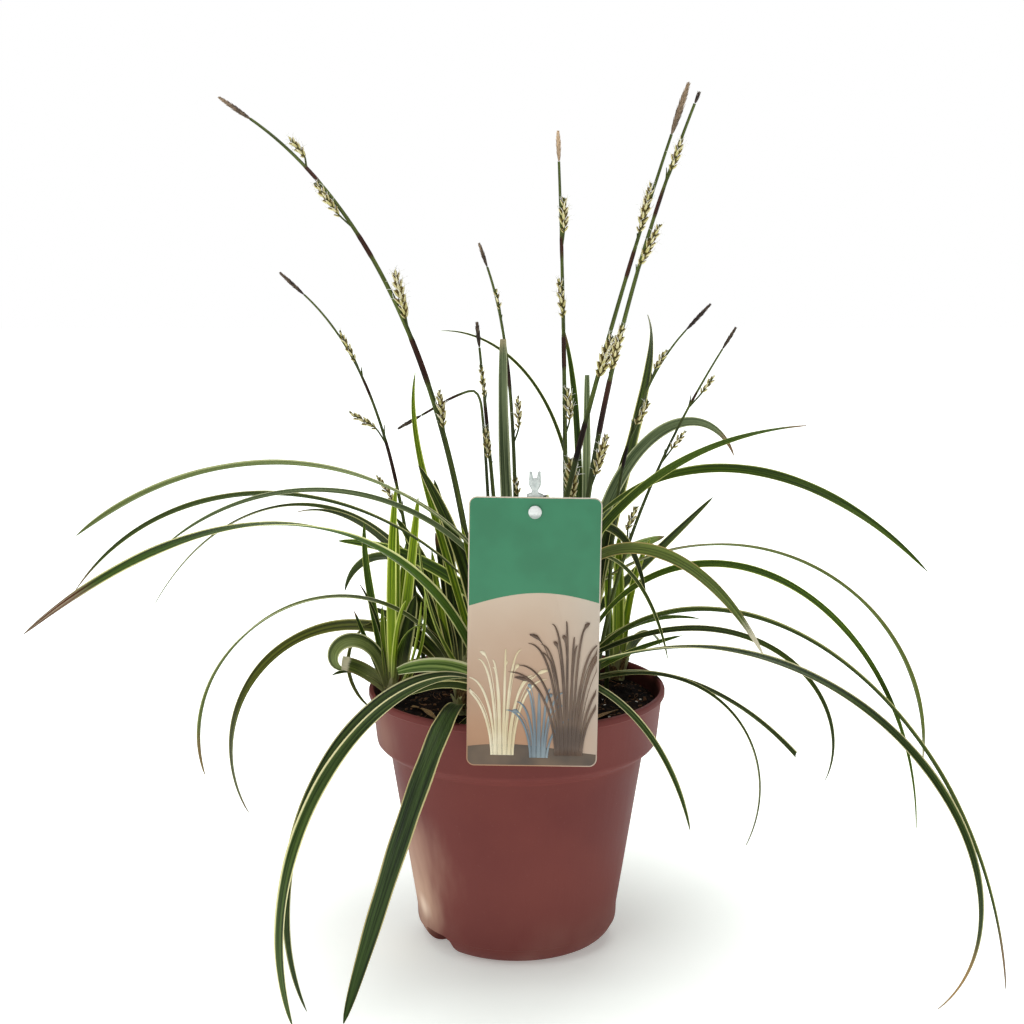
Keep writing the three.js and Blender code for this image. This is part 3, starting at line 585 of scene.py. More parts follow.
def card_material():
    """The card: warm tan low down, paler higher up and greyer to the right, in soft clouds."""
    s = Shader("card_print")
    place = s.position()
    right, _, height = s.axes(place)
    clouds = s.noise(place, 30.0, 3.0)
    body = s.blend(s.plus(height, s.times(clouds, 0.03)), 0.125, 0.235, "a97c5c", "dccbb8")
    body = s.blend(s.plus(right, s.times(clouds, 0.02)), 0.015, 0.05, body, "cfcac0", 0.5)
    s.bump(s.noise(place, 2500.0), 0.00003, 0.4)
    return s.finish(body, 0.38, 0.5)


def ink_material(name, first, second):
    s = Shader(name)
    place = s.position()
    s.bump(s.noise(place, 2500.0), 0.00003, 0.4)
    return s.finish(s.blend(s.noise(place, 60.0), 0.3, 0.7, first, second), 0.36, 0.5)


def peg_material():
    """White plastic, with painted shade in grey low on its button, where it turns under."""
    s = Shader("peg_plastic")
    place = s.position()
    grain = s.noise(place, 1800.0)
    height = s.plus(s.axes(place)[2], s.times(grain, 0.0006))
    middle = PEG["z"] * MM
    body = s.blend(grain, 0.3, 0.7, "e9ebea", "f6f7f6")
    # Painted shade: grey on the lower part of the button.
    body = s.blend(height, middle + 0.0002, middle - 0.0016, body, "8f9794", 0.8)
    s.bump(grain, 0.00004, 0.4)
    return s.finish(body, 0.28, 0.5)


def stake_material():
    s = Shader("clear_plastic")
    grain = s.noise(s.position(), 700.0)
    s.bump(grain, 0.0001, 0.5)
    body = s.blend(grain, 0.3, 0.7, "c4cac9", "e2e6e5")
    return s.finish(body, 0.22, 0.5, Transmission_Weight=0.55, IOR=1.45)


def floor_material():
    """White, with a painted glow that grows away from the pot, so that the floor fades out to plain white
    and stays dimmer, in painted shade, near the pot.
    """
    s = Shader("floor_white")
    place = s.position()
    white = s.mix(s.noise(place, 8.0), "eef5f0", "f5faf6")
    glow = s.step(s.vectors("LENGTH", place), 0.04, 0.27, 0.3, 1.0)
    # The glow is a little lower in red and blue: a painted greenish tint in the floor's shade.
    faded = s.times(glow, 0.97)
    painted_glow_colour = s.combine(faded, glow, faded)
    return s.finish(white, 0.9, 0.1, Emission_Color=painted_glow_colour, Emission_Strength=1.0)


# ------------------------ meshes


class Pile:
    """Closed shapes gathered for one mesh: points, faces, a material number for each face, and marks
    (a number for each point, such as how far along its leaf it lies)."""

    MARKS = ("across", "along", "reach", "draw", "dry", "under", "dark", "kind", "tone")

    def __init__(self):
        self.points = []
        self.faces = []
        self.paints = []
        self.marks = {name: [] for name in self.MARKS}
        self.count = 0

    def add(self, points, faces, paint=0, **marks):
        self.points.append(points)
        self.faces.extend(tuple(corner + self.count for corner in face) for face in faces)
        self.paints.extend([paint] * len(faces))
        for name in self.MARKS:
            self.marks[name].append(np.broadcast_to(marks.get(name, 0.0), len(points)))
        self.count += len(points)

    def build(self, name, materials=(), sharp=None):
        mesh = bpy.data.meshes.new(name)
        mesh.from_pydata(np.vstack(self.points) * MM, [], self.faces)
        for mark, values in self.marks.items():
            flat = np.concatenate(values).astype(np.float32)
            if flat.any():
                mesh.attributes.new(mark, "FLOAT", "POINT").data.foreach_set("value", flat)
        for material in materials:
            mesh.materials.append(material)
        mesh.polygons.foreach_set("material_index", self.paints)
        mesh.update()
        return place_mesh(name, mesh, sharp)


def place_mesh(name, mesh, sharp=None, smooth=True):
    piece = bpy.data.objects.new(name, mesh)
    bpy.context.scene.collection.objects.link(piece)
    if smooth:
        smooth_faces(piece, sharp)
    return piece


def smooth_faces(piece, sharp=None):
    """Smooth shading, with sharp edges where faces meet at more than that many degrees."""
    piece.data.polygons.foreach_set("use_smooth", [True] * len(piece.data.polygons))
    if sharp:
        piece.data.set_sharp_from_angle(angle=math.radians(sharp))


def solid(name, points, faces, materials=(), sharp=None):
    pile = Pile()
    pile.add(points, faces)
    return pile.build(name, materials, sharp)


def declare(piece, node):
    """Says what carries a piece, which node it is seen in place of."""
    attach(piece, "root")
    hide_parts(node)


def apply_modifiers(piece):
    graph = bpy.context.evaluated_depsgraph_get()
    mesh = bpy.data.meshes.new_from_object(piece.evaluated_get(graph))
    piece.modifiers.clear()
    piece.data = mesh


def turns(sides):
    return np.linspace(0, 2 * math.pi, sides, endpoint=False)


def ring(angle, radius, z, x=0.0, y=0.0):
    """Points round (x, y) at height z. The radius is one number, or one for each angle."""
    height = np.full(len(angle), z)
    return np.stack([x + radius * np.cos(angle), y + radius * np.sin(angle), height], axis=1)


def tube_faces(rings, sides):
    """Faces of a closed tube whose points run ring by ring."""
    faces = []
    for start in range(0, (rings - 1) * sides, sides):
        for side in range(sides):
            a = start + side
            b = start + (side + 1) % sides
            faces.append((a, b, b + sides, a + sides))
    faces.append(tuple(range(sides - 1, -1, -1)))
    faces.append(tuple(range((rings - 1) * sides, rings * sides)))
    return faces


def lathe(profile, sides):
    """Points and faces of a closed solid turned about Z. Its outline starts and ends near the axis."""
    rings = [ring(turns(sides), radius, height) for radius, height in profile]
    return np.vstack(rings), tube_faces(len(profile), sides)


def soil_height(x, y):
    return SOIL["edge"] + SOIL["dome"] * (1 - (x * x + y * y) / SOIL["radius"] ** 2)


class Path:
    """Stations along a curve: t from 0 to 1, points, and the tangent, side and up there."""

    def __init__(self, t, points, tangents, sides):
        self.t = t
        self.points = points
        self.tangents = tangents
        self.sides = sides
        self.ups = np.cross(tangents, sides)

    def at(self, t):
        return np.array([np.interp(t, self.t, self.points[:, k]) for k in range(3)])


def arch(start, heading, length, rise, fall, bend, sway, count):
    """The elevation goes from rise to fall as t to the power bend, and the heading turns by sway."""

    def direction(t):
        elevation = np.radians(rise + (fall - rise) * t**bend)
        azimuth = np.radians(heading + sway * t)
        flat = np.cos(elevation)
        return np.stack([flat * np.cos(azimuth), flat * np.sin(azimuth), np.sin(elevation)], axis=1)

    parts = 4
    fine = np.linspace(0, 1, parts * (count - 1) + 1)
    hops = direction((fine[1:] + fine[:-1]) / 2) * length / (len(fine) - 1)
    path = np.vstack([[start], start + np.cumsum(hops, axis=0)])
    t = fine[::parts]
    azimuth = np.radians(heading + sway * t)
    sides = np.stack([-np.sin(azimuth), np.cos(azimuth), np.zeros_like(t)], axis=1)
    return Path(t, path[::parts], direction(t), sides)


def through(corners, count, side=(0.0, 1.0, 0.0)):
    """A smooth path through points (a centripetal Catmull-Rom curve), in stations equally far apart."""
    corners = np.array(corners, float)
    side = np.array(side)
    padded = np.vstack([2 * corners[0] - corners[1], corners, 2 * corners[-1] - corners[-2]])
    spans = np.sqrt(np.linalg.norm(np.diff(padded, axis=0), axis=1))
    knots = np.concatenate([[0], np.cumsum(spans)])

    def between(low, high, t, first, second):
        return ((high - t) * first + (t - low) * second) / (high - low)

    steps = 12
    fine = []
    for i in range(1, len(padded) - 2):
        k = knots[i - 1 : i + 3]
        for t in np.linspace(k[1], k[2], steps, endpoint=False):
            a = [between(k[j], k[j + 1], t, padded[i - 1 + j], padded[i + j]) for j in range(3)]
            b = [between(k[j], k[j + 2], t, a[j], a[j + 1]) for j in range(2)]
            fine.append(between(k[1], k[2], t, b[0], b[1]))
    fine = np.vstack(fine + [corners[-1]])
    run = np.concatenate([[0], np.cumsum(np.linalg.norm(np.diff(fine, axis=0), axis=1))])
    t = np.linspace(0, 1, count)
    points = np.stack([np.interp(t * run[-1], run, fine[:, k]) for k in range(3)], axis=1)
    tangents = np.gradient(points, axis=0)
    tangents /= np.linalg.norm(tangents, axis=1)[:, None]
    sides = side - tangents * (tangents @ side)[:, None]
    sides /= np.linalg.norm(sides, axis=1)[:, None]
    return Path(t, points, tangents, sides)


def rod(pile, path, radius, sides, length, corners=0.0, **marks):
    """A round or three-cornered rod along a path."""
    angle = turns(sides)
    shape = 1 + corners * np.cos(3 * angle)
    rings = [
        point + (r * shape * np.sin(angle))[:, None] * side + (r * shape * np.cos(angle))[:, None] * up
        for point, side, up, r in zip(path.points, path.sides, path.ups, radius)
    ]
    pile.add(
        np.vstack(rings),
        tube_faces(len(rings), sides),
        across=np.tile(angle / (2 * math.pi), len(rings)),
        along=np.repeat(path.t, sides),
        reach=np.repeat(path.t * length, sides),
        **marks,
    )


# ------------------------ leaves

KIND_NUMBERS = {kind: number for number, kind in enumerate(LEAF_KINDS)}
HUSK_NUMBER = len(LEAF_KINDS)
UPPER = np.array([-1, -0.84, -0.64, -0.4, -0.16, 0, 0.16, 0.4, 0.64, 0.84, 1])
LOWER = UPPER[-2:0:-1]
ACROSS = np.concatenate([UPPER, LOWER])
UNDER = np.concatenate([np.zeros(len(UPPER)), np.ones(len(LOWER))])
# A blade's section in shares: how its groove rises from the middle, and its thickness with the keel.
GROOVE = np.sqrt(ACROSS**2 + 0.015) - 0.12
DEPTH = UNDER * (1 - 0.6 * np.abs(ACROSS) ** 1.5 + 0.45 * np.exp(-((ACROSS / 0.13) ** 2)))


def strip(pile, path, half_width, lean, thickness, groove, paint, length, draw, dry=1.1):
    """A grooved blade along a path: its upper face, then its lower face with the keel."""
    count = len(path.t)
    rows = []
    lean, thickness = np.broadcast_to(lean, count), np.broadcast_to(thickness, count)
    for i, half in enumerate(half_width):
        side = np.cos(lean[i]) * path.sides[i] + np.sin(lean[i]) * path.ups[i]
        up = -np.sin(lean[i]) * path.sides[i] + np.cos(lean[i]) * path.ups[i]
        rise = GROOVE * groove * half - DEPTH * thickness[i]
        rows.append(path.points[i] + (ACROSS * half)[:, None] * side + rise[:, None] * up)
    sides = len(ACROSS)
    pile.add(
        np.vstack(rows),
        tube_faces(count, sides),
        paint,
        across=np.tile(ACROSS, count),
        along=np.repeat(path.t, sides),
        reach=np.repeat(path.t * length, sides),
        under=np.tile(UNDER, count),
        draw=draw,
        dry=dry,
    )


def beside(crown, heading, out):
    """The place at this distance from a crown's axis, on this heading."""
    turn = math.radians(heading)
    return crown[0] + out * math.cos(turn), crown[1] + out * math.sin(turn)


def blade(pile, crown, row):
    kind, dry, heading, length, rise, fall, bend, sway, width = row[:9]
    turn, twist, cut = row[9:] + (None, 0, 1)[len(row) - 9 :]
    if turn is None:
        turn = BLADE["facing"] * math.cos(math.radians(heading))
    x, y = beside(crown, heading, BLADE["out"])
    start = np.array([x, y, soil_height(x, y) + BLADE["above"]])
    stations = max(length / STATIONS["length"], abs(fall - rise) / STATIONS["bend"], STATIONS["fewest"])
    path = arch(start, heading, length, rise, fall, bend, sway, int(stations))
    t = path.t * cut
    taper = np.minimum(1, 0.62 + 1.5 * t) * np.maximum(0.004, 1 - t**4) ** 0.55
    phase, draw = rng.uniform(0, 2 * math.pi), rng.uniform(0, 1)
    waver = np.radians(WAVER["degrees"]) * np.sin(path.t * length / WAVER["length"] + phase) * path.t
    ripple = 1 + WAVER["ripple"] * np.sin(path.t * length / WAVER["ripple_length"] + phase * 2)
    lean = np.radians(turn + twist * path.t) + waver
    thickness = BLADE["thickness"] * (0.45 + 0.55 * taper)
    half_width = width / 2 * taper * ripple
    strip(pile, path, half_width, lean, thickness, BLADE["groove"], KIND_NUMBERS[kind], length, draw, dry)


def crown_husks(pile, crown):
    """The crown's core, and the short husks that clasp it."""
    x, y = crown
    rings, sides = CROWN["rings"], CROWN["sides"]
    low = soil_height(x, y) - CROWN["below"]
    height = CROWN["above"] + CROWN["below"]
    angle = turns(sides)
    core = []
    for share in np.linspace(0, 1, rings):
        radius = CROWN["radius"] * (1 - 0.3 * share) * math.sqrt(max(0.02, 1 - share**7))
        core.append(ring(angle, radius * (1 + 0.08 * np.sin(5 * angle + x)), low + height * share, x, y))
    pile.add(
        np.vstack(core),
        tube_faces(rings, sides),
        HUSK_NUMBER,
        across=np.tile(angle / math.pi - 1, rings),
        reach=np.repeat(np.linspace(0, height, rings), sides),
        draw=0.7,
    )
    for i in range(CROWN["husks"]):
        heading = 360 * (i + rng.uniform(-0.3, 0.3)) / CROWN["husks"]
        length = rng.uniform(9, 19)
        foot = beside(crown, heading, CROWN["radius"] * HUSK["out"])
        start = np.array([*foot, soil_height(x, y) - HUSK["below"]])
        rise, fall = rng.uniform(80, 95), rng.uniform(55, 88)
        path = arch(start, heading, length, rise, fall, 2, 0, HUSK["stations"])
        half_width = rng.uniform(1.6, 2.4) * np.sqrt(np.maximum(0.02, 1 - path.t**3))
        draw = rng.uniform(0, 1)
        strip(pile, path, half_width, 0, HUSK["thickness"], HUSK["groove"], HUSK_NUMBER, length, draw)


def make_tufts():
    materials = [leaf_material(kind) for kind in LEAF_KINDS] + [husk_material()]
    for name, (crown, *rows) in TUFTS.items():
        pile = Pile()
        for row in rows:
            blade(pile, crown, row)
        crown_husks(pile, crown)
        declare(pile.build("leaves_" + name, materials, sharp=50), "leaf_tuft_" + name)


# ------------------------ flowering stems

# Across a scale: its inner face from edge to edge, then back along its outer face.
SPREAD = np.array([-1, -0.5, 0.0, 0.5, 1, 0.5, 0.0, -0.5])


def scale_ring(half, curve, z):
    return np.stack([half * SPREAD, curve, np.full(len(SPREAD), z)], axis=1)


def floret_shapes():
    """One floret along +Z from its base: the sac, the scale behind it (+Y) and three stigmas. Each is
    its points, its faces, how far along each point lies, and its kind."""
    rings, sides = 7, 7
    share = np.linspace(0, 1, rings)
    width = FLORET["sac"] * np.sin(math.pi * np.clip(0.1 + 0.87 * share**0.8, 0, 1)) ** 0.85 + 0.02
    flatter = np.array([1, 0.8, 1])
    sac = [ring(turns(sides), w, FLORET["sac_length"] * u) * flatter for u, w in zip(share, width)]
    shapes = [(np.vstack(sac), tube_faces(rings, sides), np.repeat(share, sides), 0.0)]
    share = np.linspace(0, 1, 5)
    curve = 0.5 - 0.42 * SPREAD**2 + np.array([0, 0, 0, 0, 0, 0.12, 0.14, 0.12])
    half = FLORET["scale"] * np.sin(math.pi * (0.18 + 0.78 * share)) + 0.03
    scale = [scale_ring(h, curve, FLORET["scale_length"] * u - 0.1) for u, h in zip(share, half)]
    shapes.append((np.vstack(scale), tube_faces(5, 8), np.repeat(share, 8), 1.0))
    for k in range(3):
        turn = 2 * math.pi * k / 3 + 0.5
        out = np.array([math.cos(turn), math.sin(turn), 0])
        sideways = np.array([-math.sin(turn), math.cos(turn), 0])
        stigma = []
        for u in share:
            centre = FLORET["lean"] * u**1.4 * out + np.array([0, 0, 3.0 + 2.0 * u - 0.5 * u * u])
            radius = FLORET["stigma"] * (1 - 0.6 * u)
            for a in (0, 2.1, 4.2):
                stigma.append(centre + radius * (math.cos(a) * sideways + np.array([0, 0, math.sin(a)])))
        shapes.append((np.array(stigma), tube_faces(5, 3), np.repeat(share, 3), 2.0))
    return shapes


def male_scale_shape():
    """A pointed scale along +Z whose back (-Y) is rounded."""
    skin = np.array([0, 0, 0, 0, 0, 0.14, 0.18, 0.14])
    share = np.linspace(0, 1, 6)
    rows = []
    for u in share:
        half = MALE_SCALE["half_width"] * math.sin(math.pi * (0.2 + 0.77 * u)) + 0.02
        curve = -0.5 + 0.5 * SPREAD**2 * half + skin - 0.25 * u
        rows.append(scale_ring(half, curve, MALE_SCALE["length"] * u))
    return np.vstack(rows), tube_faces(6, 8), np.tile(np.abs(SPREAD), 6), np.repeat(share, 8)


FLORET_SHAPES = floret_shapes()
MALE_SCALE_SHAPE = male_scale_shape()


def turned_frame(axis, sideways, angle, tilt):
    """The frame of a floret or scale: its X, Y (inward) and Z (its own length), leaning out from the
    spike's axis by `tilt`, at `angle` round it."""
    other = np.cross(axis, sideways)
    out = math.cos(angle) * sideways + math.sin(angle) * other
    z = math.cos(tilt) * axis + math.sin(tilt) * out
    y = math.sin(tilt) * axis - math.cos(tilt) * out
    return np.stack([np.cross(y, z), y, z]), out


def female_spike(pile, path, stem_length, spike):
    """A stalk from the stem, and florets all round it, largest in the middle and most upright at the
    tip. Stigmas are left out of some florets, mostly low ones."""
    start, length, out_start, out_tip, radius = spike
    joint = path.at(start - SPIKE["stalk"] / stem_length)
    foot = path.at(start) + np.array([out_start, -SPIKE["forward"], 0.0])
    tip = path.at(min(1, start + length / stem_length)) + np.array([out_tip, -SPIKE["forward"], 0.0])
    reach = np.linalg.norm(tip - foot)
    axis = (tip - foot) / reach
    sideways = np.cross(axis, [0.0, 1.0, 0.0])
    sideways /= np.linalg.norm(sideways)
    stalk = through([joint, foot, (foot + tip) / 2, tip], 16)
    rod(pile, stalk, np.full(16, SPIKE["stalk_radius"]), 6, 30)
    florets = int(reach / SPIKE["floret_spacing"] * math.sqrt(radius / 2))
    for i in range(florets):
        share = (i + 0.5) / florets
        girth = math.sin(math.pi * (0.2 + 0.64 * share)) ** 0.7
        size = (0.64 + 0.31 * radius) * girth * rng.uniform(0.9, 1.1)
        angle = math.radians(FLORET_TURN * i + rng.uniform(-7, 7))
        tilt = math.radians(rng.uniform(31, 41) - 13 * share)
        basis, out = turned_frame(axis, sideways, angle, tilt)
        base = foot + axis * (reach * share - 1.7 * size) + out * 0.2 * radius * girth
        draw = rng.uniform(0, 1)
        for points, faces, along, kind in FLORET_SHAPES:
            if kind == 2.0 and rng.uniform() < 0.7 - 0.5 * share:
                continue
            pile.add(base + (points * size) @ basis, faces, 1, along=along, kind=kind, draw=draw)


def bract(pile, path, stem_length, spike):
    """The short pointed bract at the foot of a female spike."""
    start = spike[0] - SPIKE["stalk"] / stem_length
    index = int(np.argmin(np.abs(path.t - start)))
    tangent = path.tangents[index]
    heading = math.degrees(math.atan2(tangent[1], tangent[0])) + rng.uniform(120, 240)
    rise = math.degrees(math.asin(tangent[2]))
    length = rng.uniform(5, 10)
    leaf = arch(path.points[index], heading, length, 178 - rise, 160 - rise, 1.5, 0, BRACT["stations"])
    half_width = BRACT["half_width"] * np.sqrt(np.maximum(0.03, 1 - leaf.t**1.6))
    strip(pile, leaf, half_width, 0, BRACT["thickness"], BRACT["groove"], 0, length, 0.5)


def male_spike(path, number, male, material):
    """A slim core at the stem's tip, clad in scales that lie flatter and paler towards its own tip."""
    length, radius, tone = male
    axis, sideways = path.tangents[-1], path.sides[-1]
    foot = path.points[-1] + axis * 0.2
    rings = 12
    t = np.linspace(0, 1, rings)
    middle = foot + t[:, None] * axis * (length - 0.6)
    core = Path(t, middle, np.tile(axis, (rings, 1)), np.tile(sideways, (rings, 1)))
    pile = Pile()
    rod(pile, core, 0.75 * radius * np.sin(math.pi * (0.14 + 0.8 * t**0.85)), 10, length, tone=tone)
    scales = int(length / SPIKE["scale_spacing"])
    points, faces, across, along = MALE_SCALE_SHAPE
    for i in range(scales):
        share = i / (scales - 1)
        girth = math.sin(math.pi * (0.16 + 0.7 * share**0.85))
        angle, tilt = math.radians(SCALE_TURN * i), math.radians(7 - 5 * share)
        basis, out = turned_frame(axis, sideways, angle, tilt)
        size = 0.42 + 0.34 * girth * radius / 1.8
        longest = (length - share * length) + 0.8
        shaped = points * np.array([size, size, min(size, longest / MALE_SCALE["length"])])
        base = foot + axis * (length * share * 0.93) + out * max(0.0, radius * girth * 0.72 - 0.25)
        gain = (0.2 + 0.5 * tone) * (share - 0.35)
        shade = float(np.clip(tone + rng.uniform(-0.12, 0.12) + gain, 0, 1))
        pile.add(base + shaped @ basis, faces, across=across, along=along, tone=shade)
    piece = pile.build(f"male_scales_{number}", [material], sharp=60)
    declare(piece, f"male_spike_{number}")


def stem_path(stem):
    x, y = stem["root"]
    start = np.array([x, y, soil_height(x, y) - STEM["below"]])
    if "through" in stem:
        return through([start, *stem["through"]], BENT_STEM["stations"]), BENT_STEM["length"]
    length = stem["arch"][1]
    return arch(start, *stem["arch"], int(length / STEM["station"])), length


def make_stems():
    materials = [stem_material(), floret_material()]
    scales = male_material()
    for number, stem in enumerate(STEMS, 1):
        path, length = stem_path(stem)
        t = path.t
        dark = np.zeros_like(t)
        soft = 1.2 / length
        for low, high in stem["sheaths"]:
            dark = np.maximum(dark, np.clip((t - low) / soft, 0, 1) * np.clip((high - t) / soft, 0, 1))
        radius = stem["girth"] * (STEM["radius"] + (STEM["tip_radius"] - STEM["radius"]) * t)
        pile = Pile()
        marks = np.repeat(dark, STEM["sides"])
        rod(pile, path, radius * (1 + 0.16 * dark), STEM["sides"], length, STEM["corners"], dark=marks)
        for spike in stem["spikes"]:
            female_spike(pile, path, length, spike)
            bract(pile, path, length, spike)
        piece = pile.build(f"stem_and_spikes_{number}", materials, sharp=50)
        declare(piece, f"flowering_stem_{number}")
        male_spike(path, number, stem["male"], scales)


# ------------------------ pot


def foot_arc(degrees, out=0.0):
    """Points of the foot's rounding at these turns from straight down."""
    radius = POT["foot_rounding"]
    centre = POT["foot_radius"] - radius + out
    angles = [math.radians(turn) for turn in degrees]
    return [(centre + radius * math.sin(angle), radius * (1 - math.cos(angle))) for angle in angles]


def pot_profile():
    """The pot's outline as (radius, height): foot, wall, collar, lip, and down inside."""
    top, rim, wall = POT["height"], POT["rim_radius"], POT["wall"]
    body, collar, collar_top = POT["body_top_radius"], POT["collar_low_radius"], POT["collar_top_radius"]
    foot_centre = POT["foot_radius"] - POT["foot_rounding"]
    body_top = top - POT["collar_depth"]
    rim_low = top - POT["rim_depth"]
    foot = foot_arc((12, 24, 34, 44, 54, 63, 70, 74)) + foot_arc((75.5, 80, 85), out=0.45)
    walls = [
        (POT["foot_radius"] + 0.6, POT["foot_rounding"] + 4),
        (body - 0.25, body_top - 1.2),
        (body, body_top - 0.5),
        (body + 0.5, body_top + 0.1),
        (body + 1.6, body_top + 0.9),
        (body + 3.7, body_top + 2.1),
        (collar - 0.9, body_top + 3.5),
        (collar - 0.25, body_top + 4.3),
        (collar, body_top + 5.4),
    ]
    lip = [
        (collar_top, rim_low - 0.8),
        (collar_top + 0.35, rim_low - 0.3),
        (rim - 0.35, rim_low),
        (rim, rim_low + 0.4),
        (rim, top - 0.9),
        (rim - 0.25, top - 0.3),
        (rim - 0.8, top),
        (rim - POT["lip_width"] + 0.3, top),
        (rim - POT["lip_width"], top - 0.4),
        (collar_top - wall, top - 4),
    ]
    inside = [(radius - wall, height) for radius, height in reversed(walls)]
    bottom = [(foot_centre + POT["foot_rounding"] * 0.5, POT["floor"] + 2.2), (foot_centre, POT["floor"])]
    return [(foot_centre, 0), *foot, *walls, *lip, *inside, *bottom]


def notch_block(heading, skin):
    """A bar with rounded shoulders through the foot's edge, larger than the notch by `skin`."""
    half = NOTCHES["width"] / 2 + skin
    corner = NOTCHES["corner"] + skin
    spring = NOTCHES["height"] + skin - corner
    arc = np.linspace(0, math.pi / 2, 7)
    shoulder = [(half - corner + corner * math.cos(a), spring + corner * math.sin(a)) for a in arc]
    outline = [(half, -2), *shoulder, *[(-across, up) for across, up in reversed(shoulder)], (-half, -2)]
    turn = math.radians(heading)
    cos, sin = math.cos(turn), math.sin(turn)
    points = [
        (radius * cos - across * sin, radius * sin + across * cos, up)
        for radius in (POT["foot_radius"] - NOTCHES["reach"] - skin, POT["foot_radius"] + 20)
        for across, up in outline
    ]
    return solid("block", np.array(points), tube_faces(2, len(outline)))


def combine(piece, other, operation):
    """Adds, cuts or keeps what two closed meshes share, and removes the other one."""
    modifier = piece.modifiers.new("solid", "BOOLEAN")
    modifier.operation = operation
    modifier.solver = "MANIFOLD"
    modifier.object = other
    apply_modifiers(piece)
    bpy.data.objects.remove(other)


def notch_headings():
    return [(NOTCHES["first"] + 360 / NOTCHES["count"] * i) % 360 for i in range(NOTCHES["count"])]


def make_pot():
    """The pot's shell, with a roofed drain notch at each heading."""
    profile = pot_profile()
    pot = solid("nursery_pot", *lathe(profile, POT["sides"]), [pot_material()])
    outer = [point for point in profile[: len(profile) // 2] if point[1] < 60]
    outer.append((0.5, outer[-1][1]))
    for heading in notch_headings():
        roof = notch_block(heading, POT["wall"])
        combine(roof, solid("envelope", *lathe(outer, POT["sides"])), "INTERSECT")
        combine(pot, roof, "UNION")
        combine(pot, notch_block(heading, 0), "DIFFERENCE")
    smooth_faces(pot, 38)
    declare(pot, "pot")


# ------------------------ soil


def soil_top(x, y):
    """The soil's real surface: its mound and waves, with crumbs of three sizes."""
    crumbs = sum(rise * noise.noise(Vector((x / size, y / size, lot))) for rise, size, lot in CRUMBS)
    out = min(1, math.hypot(x, y) / SOIL["radius"])
    waves = math.sin(x * 0.31 + 1.3) * math.cos(y * 0.27) + 0.5 * math.sin(x * 0.17 - y * 0.41)
    return soil_height(x, y) + (1 - out**6) * SOIL["wave"] * waves + (1 - 0.75 * out**14) * crumbs


def inside_radius(height):
    """The soil's radius at a height under its surface, just inside the pot's wall."""
    body_top = POT["height"] - POT["collar_depth"]
    stations = [
        (POT["foot_rounding"] + 4, POT["foot_radius"] + 0.6),
        (body_top, POT["body_top_radius"]),
        (body_top + 2.6, (POT["body_top_radius"] + POT["collar_low_radius"]) / 2),
        (body_top + 7.5, POT["collar_low_radius"]),
        (SOIL["edge"] + 3, POT["collar_top_radius"] - 0.3),
    ]
    return float(np.interp(height, *zip(*stations))) - POT["wall"] - 0.5


def make_soil():
    angle = turns(SOIL["sides"])
    foot_centre = POT["foot_radius"] - POT["foot_rounding"]
    wall = [(foot_centre, POT["floor"] + 0.4), (foot_centre + 5.5, POT["floor"] + 2.8)]
    wall += [(inside_radius(z), z) for z in SOIL_SIDE]
    rows = [ring(angle, radius, z) for radius, z in wall]
    rim = inside_radius(SOIL["edge"])
    for share in np.linspace(1, 0.004, SOIL["rings"]):
        row = ring(angle, rim * share, 0)
        row[:, 2] = [soil_top(x, y) for x, y, _ in row]
        rows.append(row)
    soil = solid("soil_mound", np.vstack(rows), tube_faces(len(rows), SOIL["sides"]), [soil_material()])
    for heading in notch_headings():
        combine(soil, notch_block(heading, POT["wall"] + 0.6), "DIFFERENCE")
    declare(soil, "potting_soil")


def crumb_shape():
    mesh = bmesh.new()
    bmesh.ops.create_icosphere(mesh, subdivisions=1, radius=1)
    points = np.array([vertex.co[:] for vertex in mesh.verts])
    faces = [tuple(vertex.index for vertex in face.verts) for face in mesh.faces]
    mesh.free()
    return points, faces


def spot(widest):
    """A random place within this radius, even over the area."""
    radius = widest * math.sqrt(rng.uniform(0, 1))
    turn = rng.uniform(0, 2 * math.pi)
    return radius * math.cos(turn), radius * math.sin(turn)


def make_litter():
    """Bark bits, fibres and perlite on the soil."""
    pile = Pile()
    points, faces = crumb_shape()
    for _ in range(LITTER["bits"]):
        x, y = spot(SOIL["radius"] - 1.5)
        longest = rng.uniform(0.35, 1.25) ** 1.3
        size = longest * np.array([1, rng.uniform(0.5, 0.9), rng.uniform(0.35, 0.7)])
        spin = rng.uniform(0, math.pi)
        shape = points * rng.uniform(0.78, 1.18, points.shape) * size
        cos, sin = math.cos(spin), math.sin(spin)
        turn = np.array([[cos, sin, 0], [-sin, cos, 0], [0, 0, 1]])
        place = np.array([x, y, soil_top(x, y) + 0.2 * size[2]])
        pile.add(shape @ turn + place, faces, draw=rng.uniform(0, 1))
    for _ in range(LITTER["fibres"]):
        x, y = spot(LITTER["fibre_reach"])
        heading = rng.uniform(0, 2 * math.pi)
        length = rng.uniform(3, 9)
        corners = []
        for u in (0, 0.5, 1):
            px = x + length * (u - 0.5) * math.cos(heading + 0.5 * u)
            py = y + length * (u - 0.5) * math.sin(heading + 0.5 * u)
            corners.append((px, py, soil_top(px, py) + 0.1))
        fibre = through(corners, 7, side=(0.1, 0.2, 1.0))
        rod(pile, fibre, np.full(7, rng.uniform(0.12, 0.3)), 5, length, draw=rng.uniform(0.2, 0.8))
    declare(pile.build("soil_litter", [litter_material()], sharp=40), "potting_soil")


